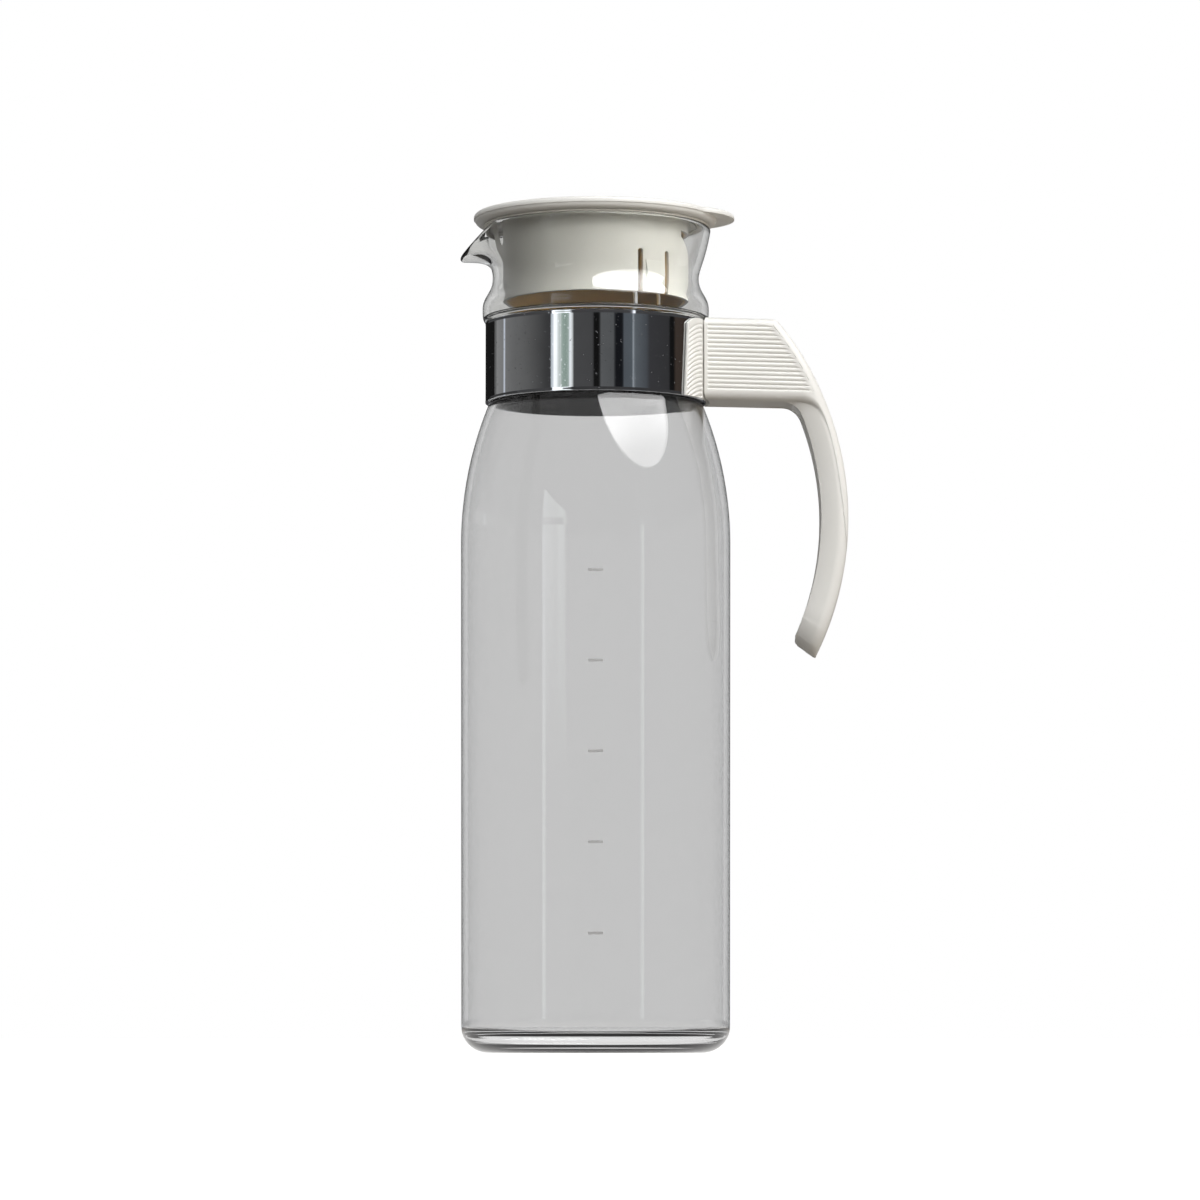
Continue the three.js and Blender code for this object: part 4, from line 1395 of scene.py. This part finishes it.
class JUG_OT_lid_stopper(bpy.types.Operator):
    """Moulds the stopper: a skirt with a pouring window, spring tongues and a flange"""

    bl_idname = "jug.lid_stopper"
    bl_label = "Lid Stopper"

    def execute(self, context):
        sizes = context.scene.jug_lid
        bottom, top = STOPPER_LOW.z, STOPPER_HIGH.z
        flange = -STOPPER_LOW.x
        radius = flange - sizes.flange
        levels = [mix(bottom, top, i / SKIRT_LEVELS) for i in range(SKIRT_LEVELS + 1)]
        bm = bmesh.new()
        add_turned(bm, [(radius, level) for level in levels], TURN_STEPS)
        bmesh.ops.remove_doubles(bm, verts=bm.verts, dist=MERGE_DISTANCE)
        bmesh.ops.recalc_face_normals(bm, faces=bm.faces)
        face = bm.faces[:][0]
        if face.normal.dot(face.calc_center_median().to_2d().to_3d()) < 0:
            bmesh.ops.reverse_faces(bm, faces=bm.faces)
        cut_window(bm, sizes, radius, PLATE_LOW.z)
        for side in (-1, 1):
            for swing in (-sizes.tongue_half_angle, sizes.tongue_half_angle):
                cut_slit(bm, sizes, side * sizes.tongue_angle + swing, bottom)
        bmesh.ops.solidify(bm, geom=bm.faces[:], thickness=sizes.skirt_wall)
        for side in (-1, 1):
            add_detent(bm, sizes, radius, side * sizes.tongue_angle, bottom)
        low = PLATE_LOW.z + FLANGE_LIFT
        root = radius - sizes.skirt_wall / 2
        section = [(root, low), (flange, low), (flange, top), (root, top)]
        add_turned(bm, section, TURN_STEPS, closed=True)
        finish_piece("lid_skirt", bm, "lid", ["lid_stopper"], stopper_finish())
        return {"FINISHED"}


SEAT_STEPS = 200
SEAT_ROUND_STEPS = 8


class JUG_OT_seat_ring(bpy.types.Operator):
    """Cuts the soft ring that the lid rests on"""

    bl_idname = "jug.seat_ring"
    bl_label = "Seat Ring"

    def execute(self, context):
        sizes = context.scene.jug_lid
        outer = -SEAT_LOW.x
        inner = outer - sizes.seat_width
        half = (SEAT_HIGH.z - SEAT_LOW.z) / 2
        middle = (SEAT_HIGH.z + SEAT_LOW.z) / 2
        section = []
        for centre, turn in ((outer - half, 0), (inner + half, math.pi)):
            ends = turn - QUARTER_TURN, turn + QUARTER_TURN
            section += arc(Vector((centre, middle)), half, *ends, SEAT_ROUND_STEPS)
        bm = bmesh.new()
        add_turned(bm, section, SEAT_STEPS, closed=True)
        finish_piece("seat_gasket", bm, "lid_seat", ["lid_seat_ring"], seat_finish())
        return {"FINISHED"}


MARK_LIFT = 0.02 * MM
MARK_COLUMNS = 12
MARK_ROWS = 2


class JUG_OT_level_marks(bpy.types.Operator):
    """Prints plain level marks up the front of the glass"""

    bl_idname = "jug.level_marks"
    bl_label = "Level Marks"

    def execute(self, context):
        sizes = context.scene.jug_marks
        radius = context.scene.jug_glass.body_radius + MARK_LIFT
        bm = bmesh.new()
        for i in range(sizes.count):
            made = bmesh.ops.create_grid(bm, x_segments=MARK_COLUMNS, y_segments=MARK_ROWS, size=1.0)
            for vert in made["verts"]:
                around = vert.co.x * sizes.width / 2 / radius - QUARTER_TURN
                height = sizes.lowest + i * sizes.step + vert.co.y * sizes.height / 2
                vert.co = (radius * math.cos(around), radius * math.sin(around), height)
        reach = (radius + sizes.film) / radius
        thicken(bm, bm.faces[:], lambda place: (place.x * reach, place.y * reach, place.z))
        finish_piece("level_print", bm, "jug", ["glass_body"], mark_finish())
        return {"FINISHED"}


WHITE = (1, 1, 1, 1)
LIT_MIDDLE = Vector((0, 0, 0.15))
GLOSS_FOOT = 0.1
GLOSS_HEAD = 0.36
GLASS_LIGHT = 8.4
GLASS_LIGHT_END = -0.11
GLASS_LIGHT_TURN = math.radians(58)
GLASS_LIGHT_RISE = math.radians(15)


def towards(turn, rise):
    """Direction at an angle to the right of the camera and an angle above the level."""
    return Vector((math.cos(rise) * math.sin(turn), -math.cos(rise) * math.cos(turn), math.sin(rise)))


def add_soft_box(name, stage, radiance, direction):
    """A large round soft box that faces the jug."""
    light = bpy.data.lights.new(name, "AREA")
    light.shape = "DISK"
    light.size = stage.box_size
    area = math.pi * (stage.box_size / 2) ** 2
    light.energy = math.pi * area * radiance
    lamp = bpy.data.objects.new(name, light)
    lamp.location = LIT_MIDDLE + stage.box_distance * direction
    lamp.rotation_euler = (-direction).to_track_quat("-Z", "Y").to_euler()
    lamp.visible_camera = False
    bpy.context.scene.collection.objects.link(lamp)
    return lamp


def add_lights(stage):
    """One soft box that shows in glass and steel, and two that light the matt surfaces."""
    direction = towards(stage.gloss_turn, stage.gloss_rise)
    gloss = add_soft_box("gloss_box", stage, stage.gloss_light, direction)
    gloss.visible_diffuse = False
    gloss.data.use_nodes = True
    tree = gloss.data.node_tree
    split = tree.nodes.new("ShaderNodeSeparateXYZ")
    place = tree.nodes.new("ShaderNodeNewGeometry")
    tree.links.new(place.outputs["Parametric"], split.inputs["Vector"])
    fall = mapped(tree, split.outputs["Y"], GLOSS_FOOT, GLOSS_HEAD, stage.gloss_fall)
    tree.links.new(fall, tree.nodes["Emission"].inputs["Strength"])
    for name, radiance, direction in (
        ("fill_box", stage.fill_light, towards(stage.fill_turn, stage.fill_rise)),
        ("back_box", stage.back_light, towards(stage.back_turn, stage.back_rise)),
    ):
        box = add_soft_box(name, stage, radiance, direction)
        box.visible_glossy = False
        box.visible_transmission = False


def glow(tree, kind, values):
    """A plain light for a world or a surface: a node of a kind with its sockets set."""
    node = tree.nodes.new(kind)
    dress(tree, node, values)
    return node.outputs[0]


def sorted_rays(tree, surface, choices):
    """A surface that gives way to each choice in turn, for the rays that go with it."""
    for rays, choice in choices:
        node = tree.nodes.new("ShaderNodeMixShader")
        for socket, value in zip(node.inputs, (rays, surface, choice)):
            tree.links.new(value, socket)
        surface = node.outputs["Shader"]
    return surface


def background_rays(tree):
    """1 for the rays that see the backdrop itself: camera, glossy and transmission rays that no
    matt surface has scattered."""
    path = tree.nodes.new("ShaderNodeLightPath")
    seen = joined(tree, "MAXIMUM", path.outputs["Is Camera Ray"], path.outputs["Is Glossy Ray"])
    seen = joined(tree, "MAXIMUM", seen, path.outputs["Is Transmission Ray"])
    direct = joined(tree, "LESS_THAN", path.outputs["Diffuse Depth"], 0.5)
    return joined(tree, "MULTIPLY", seen, direct)


def add_world(stage):
    """White backdrop, a softer even light on the object, and light from the right for the matt
    surfaces behind glass, which the soft boxes do not reach."""
    world = bpy.data.worlds.new("studio_world")
    world.use_nodes = True
    tree = world.node_tree
    even = tree.nodes["Background"]
    dress(tree, even, {"Color": WHITE, "Strength": stage.ambient})
    turned = tree.nodes.new("ShaderNodeVectorMath")
    turned.operation = "DOT_PRODUCT"
    turned.inputs[1].default_value = towards(GLASS_LIGHT_TURN, GLASS_LIGHT_RISE)
    place = tree.nodes.new("ShaderNodeTexCoord")
    tree.links.new(place.outputs["Generated"], turned.inputs[0])
    fall = mapped(tree, turned.outputs["Value"], GLASS_LIGHT_END, 1.0, 0.0, GLASS_LIGHT)
    side = glow(tree, "ShaderNodeBackground", {"Strength": fall})
    white = glow(tree, "ShaderNodeBackground", {"Color": WHITE, "Strength": 1.0})
    path = tree.nodes.new("ShaderNodeLightPath")
    scattered = joined(tree, "GREATER_THAN", path.outputs["Diffuse Depth"], 0.5)
    behind_glass = joined(tree, "MULTIPLY", scattered, path.outputs["Is Transmission Ray"])
    choices = ((behind_glass, side), (background_rays(tree), white))
    surface = sorted_rays(tree, even.outputs["Background"], choices)
    tree.links.new(surface, tree.nodes["World Output"].inputs["Surface"])
    bpy.context.scene.world = world


def stage_piece(name, bm, material):
    """An object of the stage."""
    piece = new_object(name, bm, material)
    return piece


FLOOR_HALF = 8.0
FLOOR_DROP = 0.1 * MM
ROOM_RADIUS = 3.0
ROOM_HEIGHT = 3.0
ROOM_STEPS = 96
WINDOW_TOP = 1.15
STEEL_MIDDLE = 0.64
STEEL_HALF = 0.06
RIGHT_MIDDLE = 0.54
RIGHT_HALF = 0.345
SLIT_TOP = 0.22
PANE_FOOT = 0.46
PANE_LEFT = 0.125
PANE_SLOPE = 6.4
PANE_FALL = 0.5
BOUNCE_START = -0.15
BOUNCE_END = 0.6
BOUNCE_LEFT = 0.3
BOUNCE_RIGHT = 2.3
INSIDE_GLOSS = 0.35
FLOOR_NEAR = 0.1
FLOOR_FAR = 1.6
FLOOR_GLOSS = [
    (0.0, (0.97, 0.96, 0.95)),
    (0.08, (0.6, 0.57, 0.53)),
    (0.2, (0.4, 0.39, 0.38)),
    (0.5, (0.16, 0.16, 0.165)),
    (1.0, (0.07, 0.07, 0.074)),
]
FLOOR_WINDOW = (0.85, 0.88, 0.9)
# Part of a turn and brightness where each bright window starts, and the same where it ends.
FLOOR_WINDOWS = (
    (0.1, 1, 0.13, 0.7),
    (0.34, 0.5, 0.36, 0.4),
    (0.54, 1, 0.58, 0.7),
    (0.77, 0.9, 0.8, 0.6),
)
FLOOR_WINDOW_EDGE = 0.01


def room_place(tree):
    """A place on the stage: the place itself, its turn about the axis, and its numbers by axis."""
    place, axes = object_place(tree)
    around = tree.nodes.new("ShaderNodeTexGradient")
    around.gradient_type = "RADIAL"
    tree.links.new(place, around.inputs["Vector"])
    return place, around.outputs["Fac"], axes


def floor_reflection(tree):
    """Colour of the floor in reflections: pale near the jug, dark with bright windows far off."""
    spot, around, _ = room_place(tree)
    reach = tree.nodes.new("ShaderNodeVectorMath")
    reach.operation = "LENGTH"
    tree.links.new(spot, reach.inputs[0])
    far = mapped(tree, reach.outputs["Value"], FLOOR_NEAR, FLOOR_FAR)
    levels = [(0, 0)]
    for start, first, end, last in FLOOR_WINDOWS:
        levels += [(start - FLOOR_WINDOW_EDGE, 0), (start, first), (end, last), (end + FLOOR_WINDOW_EDGE, 0)]
    stops = [(place, (level, level, level)) for place, level in levels]
    window = joined(tree, "MULTIPLY", shades(tree, around, stops), far)
    return blended(tree, window, shades(tree, far, FLOOR_GLOSS), (*FLOOR_WINDOW, 1))


def add_floor(stage):
    """Pale floor: lit with a little white added for the camera, plain white through glass, darker
    with windows in reflections, and warm and dim, more so to the left, for the light that it throws
    back."""
    material, tree, shader = new_finish("studio_floor_finish")
    skin = {"Base Color": (*stage.floor, 1), "Roughness": 0.9, "Specular IOR Level": 0.0}
    dress(tree, shader, {**skin, "Emission Color": WHITE, "Emission Strength": stage.floor_lift})
    across = object_place(tree)[1]["X"]
    bounce = mapped(tree, across, BOUNCE_START, BOUNCE_END, BOUNCE_LEFT, BOUNCE_RIGHT)
    white, thrown, mirrored = (
        glow(tree, "ShaderNodeEmission", values)
        for values in (
            {"Color": WHITE},
            {"Color": (*stage.floor_bounce, 1), "Strength": bounce},
            {"Color": floor_reflection(tree)},
        )
    )
    path = tree.nodes.new("ShaderNodeLightPath")
    scattered = joined(tree, "GREATER_THAN", path.outputs["Diffuse Depth"], 0.5)
    inside = joined(tree, "GREATER_THAN", path.outputs["Glossy Depth"], 0.5)
    inside = joined(tree, "MULTIPLY", inside, INSIDE_GLOSS)
    glossy, through = path.outputs["Is Glossy Ray"], path.outputs["Is Transmission Ray"]
    reflected = joined(tree, "MAXIMUM", joined(tree, "SUBTRACT", glossy, through), inside)
    seen = shader.outputs["BSDF"]
    choices = ((reflected, mirrored), (path.outputs["Is Camera Ray"], seen), (scattered, thrown))
    tree.links.new(sorted_rays(tree, white, choices), tree.nodes["Material Output"].inputs["Surface"])
    bm = bmesh.new()
    bmesh.ops.create_grid(bm, x_segments=1, y_segments=1, size=FLOOR_HALF)
    bmesh.ops.translate(bm, verts=bm.verts, vec=(0, 0, -FLOOR_DROP))
    stage_piece("studio_floor", bm, material)


ROOM_CEILING = (0.06, 0.06, 0.062)
ROOM_DIM = (0.08, 0.08, 0.083)
CAMERA_TURN = 0.25
# Colours round the room, each at its angle in degrees to the right of the camera.
ROOM_LEFT = [
    (-89, (0.2, 0.2, 0.2)),
    (-74, (0.155, 0.155, 0.155)),
    (-53, (0.07, 0.07, 0.072)),
    (-47.5, (0.06, 0.06, 0.063)),
    (-47, (0.85, 0.92, 1.0)),
    (-46.2, (0.85, 0.92, 1.0)),
    (-46, (0.1, 0.15, 0.22)),
    (-45.2, (0.1, 0.15, 0.22)),
    (-44.8, (1.7, 1.75, 1.8)),
    (-40, (1.5, 1.55, 1.55)),
    (-39, (0.8, 0.87, 0.86)),
    (-36, (0.85, 0.93, 0.9)),
    (-35, (0.45, 0.57, 0.51)),
    (-31, (0.38, 0.49, 0.43)),
    (-28, (0.5, 0.61, 0.56)),
    (-27.2, (0.3, 0.37, 0.4)),
    (-26.8, (1.3, 1.35, 1.4)),
    (-24.4, (1.2, 1.25, 1.25)),
    (-23, (0.1, 0.1, 0.103)),
    (228, (0.012, 0.012, 0.012)),
    (230, (0.3, 0.3, 0.3)),
    (232, (0.05, 0.05, 0.05)),
    (233, (0.33, 0.33, 0.33)),
    (247.5, (0.3, 0.3, 0.3)),
    (248, (0.8, 0.85, 0.95)),
    (250.5, (0.8, 0.85, 0.95)),
    (251, (0.26, 0.26, 0.26)),
    (269, (0.2, 0.2, 0.2)),
]
ROOM_WALLS = [
    (-22, (0.1, 0.1, 0.103)),
    (-3, (0.09, 0.09, 0.093)),
    (-2, (0.01, 0.01, 0.01)),
    (4, (0.01, 0.01, 0.01)),
    (5, (0.15, 0.155, 0.16)),
    (19, (0.13, 0.135, 0.14)),
    (20, (0.012, 0.013, 0.016)),
    (28, (0.012, 0.013, 0.016)),
    (29, (0.12, 0.135, 0.155)),
    (38, (0.13, 0.15, 0.17)),
    (39, (0.5, 0.55, 0.6)),
    (41, (0.16, 0.18, 0.2)),
    (54, (0.1, 0.11, 0.125)),
    (58, (0.06, 0.06, 0.065)),
    (82, (0.05, 0.05, 0.053)),
    (84, (0.01, 0.01, 0.01)),
    (89, (0.01, 0.01, 0.01)),
    (92, (0.07, 0.052, 0.042)),
    (110, (0.06, 0.045, 0.037)),
    (150, (0.04, 0.038, 0.036)),
    (185, (0.012, 0.012, 0.012)),
]
ROOM_LAMP = [
    (36, ROOM_DIM),
    (39, (0.5, 0.5, 0.55)),
    (39.5, (1.8, 1.85, 2.0)),
    (41, (1.8, 1.85, 2.0)),
    (41.5, ROOM_DIM),
]
ROOM_SLIT = [
    (-46, ROOM_DIM),
    (-45, (2.2, 2.25, 2.4)),
    (-43, (1.6, 1.65, 1.8)),
    (-42, (0.16, 0.16, 0.17)),
    (-27, (0.12, 0.12, 0.125)),
    (-25, (0.5, 0.5, 0.52)),
    (-24, ROOM_DIM),
    *ROOM_LAMP,
]
ROOM_PANE = [
    (-46, ROOM_DIM),
    (-45, (2.6, 2.7, 2.9)),
    (-41, (2.2, 2.3, 2.4)),
    (-33, (1.6, 1.7, 1.7)),
    (-31, (2.3, 2.4, 2.5)),
    (-26, (2.0, 2.1, 2.2)),
    (-25, ROOM_DIM),
    *ROOM_LAMP,
]


def within(tree, value, middle, half):
    """1 where a number lies near a middle."""
    away = joined(tree, "ABSOLUTE", joined(tree, "SUBTRACT", value, middle), 0)
    return joined(tree, "LESS_THAN", away, half)


def add_room():
    """Dim walls that only reflections see, so that polished steel has something dark to show."""
    material = bpy.data.materials.new("studio_room_finish")
    material.use_nodes = True
    tree = material.node_tree
    tree.nodes.remove(tree.nodes["Principled BSDF"])
    _, around, axes = room_place(tree)
    left, walls, slit, pane = (
        shades(tree, around, [(CAMERA_TURN + degrees / 360, tint) for degrees, tint in stops])
        for stops in (ROOM_LEFT, ROOM_WALLS, ROOM_SLIT, ROOM_PANE)
    )
    fade = mapped(tree, axes["Z"], SLIT_TOP, PANE_FOOT)
    slope = joined(tree, "SUBTRACT", around, PANE_LEFT)
    slope = joined(tree, "MINIMUM", joined(tree, "MULTIPLY", slope, PANE_SLOPE), PANE_FALL)
    above = joined(tree, "GREATER_THAN", joined(tree, "ADD", axes["Z"], slope), WINDOW_TOP)
    steel = within(tree, axes["Z"], STEEL_MIDDLE, STEEL_HALF)
    right = joined(tree, "MULTIPLY", steel, within(tree, around, RIGHT_MIDDLE, RIGHT_HALF))
    tint = slit
    for part, chosen in ((fade, pane), (above, (*ROOM_CEILING, 1)), (steel, left), (right, walls)):
        tint = blended(tree, part, tint, chosen)
    light = glow(tree, "ShaderNodeEmission", {"Color": tint})
    tree.links.new(light, tree.nodes["Material Output"].inputs["Surface"])
    bm = bmesh.new()
    profile = [(ROOM_RADIUS, -FLOOR_DROP), (ROOM_RADIUS, ROOM_HEIGHT), (0, ROOM_HEIGHT)]
    add_turned(bm, profile, ROOM_STEPS)
    room = stage_piece("studio_room", bm, material)
    for rays in ("camera", "diffuse", "transmission", "volume_scatter", "shadow"):
        setattr(room, f"visible_{rays}", False)


SENSOR_WIDTH = 36


class JUG_OT_stage(bpy.types.Operator):
    """Sets the pale floor, the soft light and the camera"""

    bl_idname = "jug.stage"
    bl_label = "Stage"

    def execute(self, context):
        stage = context.scene.jug_stage
        add_world(stage)
        add_floor(stage)
        add_room()
        add_lights(stage)
        camera = bpy.data.objects.new("camera", bpy.data.cameras.new("camera"))
        camera.location = stage.camera_place
        camera.rotation_euler = (QUARTER_TURN + stage.camera_pitch, 0, 0)
        camera.data.lens = stage.lens
        camera.data.sensor_width = SENSOR_WIDTH
        context.scene.collection.objects.link(camera)
        context.scene.camera = camera
        context.scene.view_settings.view_transform = "Standard"
        return {"FINISHED"}


OPERATORS = (
    JUG_OT_glass_body,
    JUG_OT_neck_band,
    JUG_OT_clamp,
    JUG_OT_handle_saddle,
    JUG_OT_handle_shell,
    JUG_OT_handle_cover,
    JUG_OT_lid_plate,
    JUG_OT_lid_stopper,
    JUG_OT_seat_ring,
    JUG_OT_level_marks,
    JUG_OT_stage,
)


class JUG_PT_sidebar(bpy.types.Panel):
    """Lists the steps that build the jug, and their sizes"""

    bl_idname = "JUG_PT_sidebar"
    bl_label = "Fridge Jug"
    bl_space_type = "VIEW_3D"
    bl_region_type = "UI"
    bl_category = "Jug"

    def draw(self, context):
        for operator in OPERATORS:
            self.layout.operator(operator.bl_idname)
        for name, group in SETTINGS.items():
            box = self.layout.box()
            box.label(text=group.__doc__)
            for key in group.__annotations__:
                box.prop(getattr(context.scene, name), key)


CLASSES = (*SETTINGS.values(), *OPERATORS, JUG_PT_sidebar)


def register():
    for cls in CLASSES:
        bpy.utils.register_class(cls)
    for name, group in SETTINGS.items():
        setattr(bpy.types.Scene, name, bpy.props.PointerProperty(type=group))


def unregister():
    for name in SETTINGS:
        delattr(bpy.types.Scene, name)
    for cls in reversed(CLASSES):
        bpy.utils.unregister_class(cls)


def main():
    register()
    bpy.ops.jug.glass_body()
    bpy.ops.jug.neck_band()
    bpy.ops.jug.clamp()
    bpy.ops.jug.handle_saddle()
    bpy.ops.jug.handle_shell()
    bpy.ops.jug.handle_cover()
    bpy.ops.jug.lid_plate()
    bpy.ops.jug.lid_stopper()
    bpy.ops.jug.seat_ring()
    bpy.ops.jug.level_marks()
    bpy.ops.jug.stage()


if __name__ == "__main__":
    main()
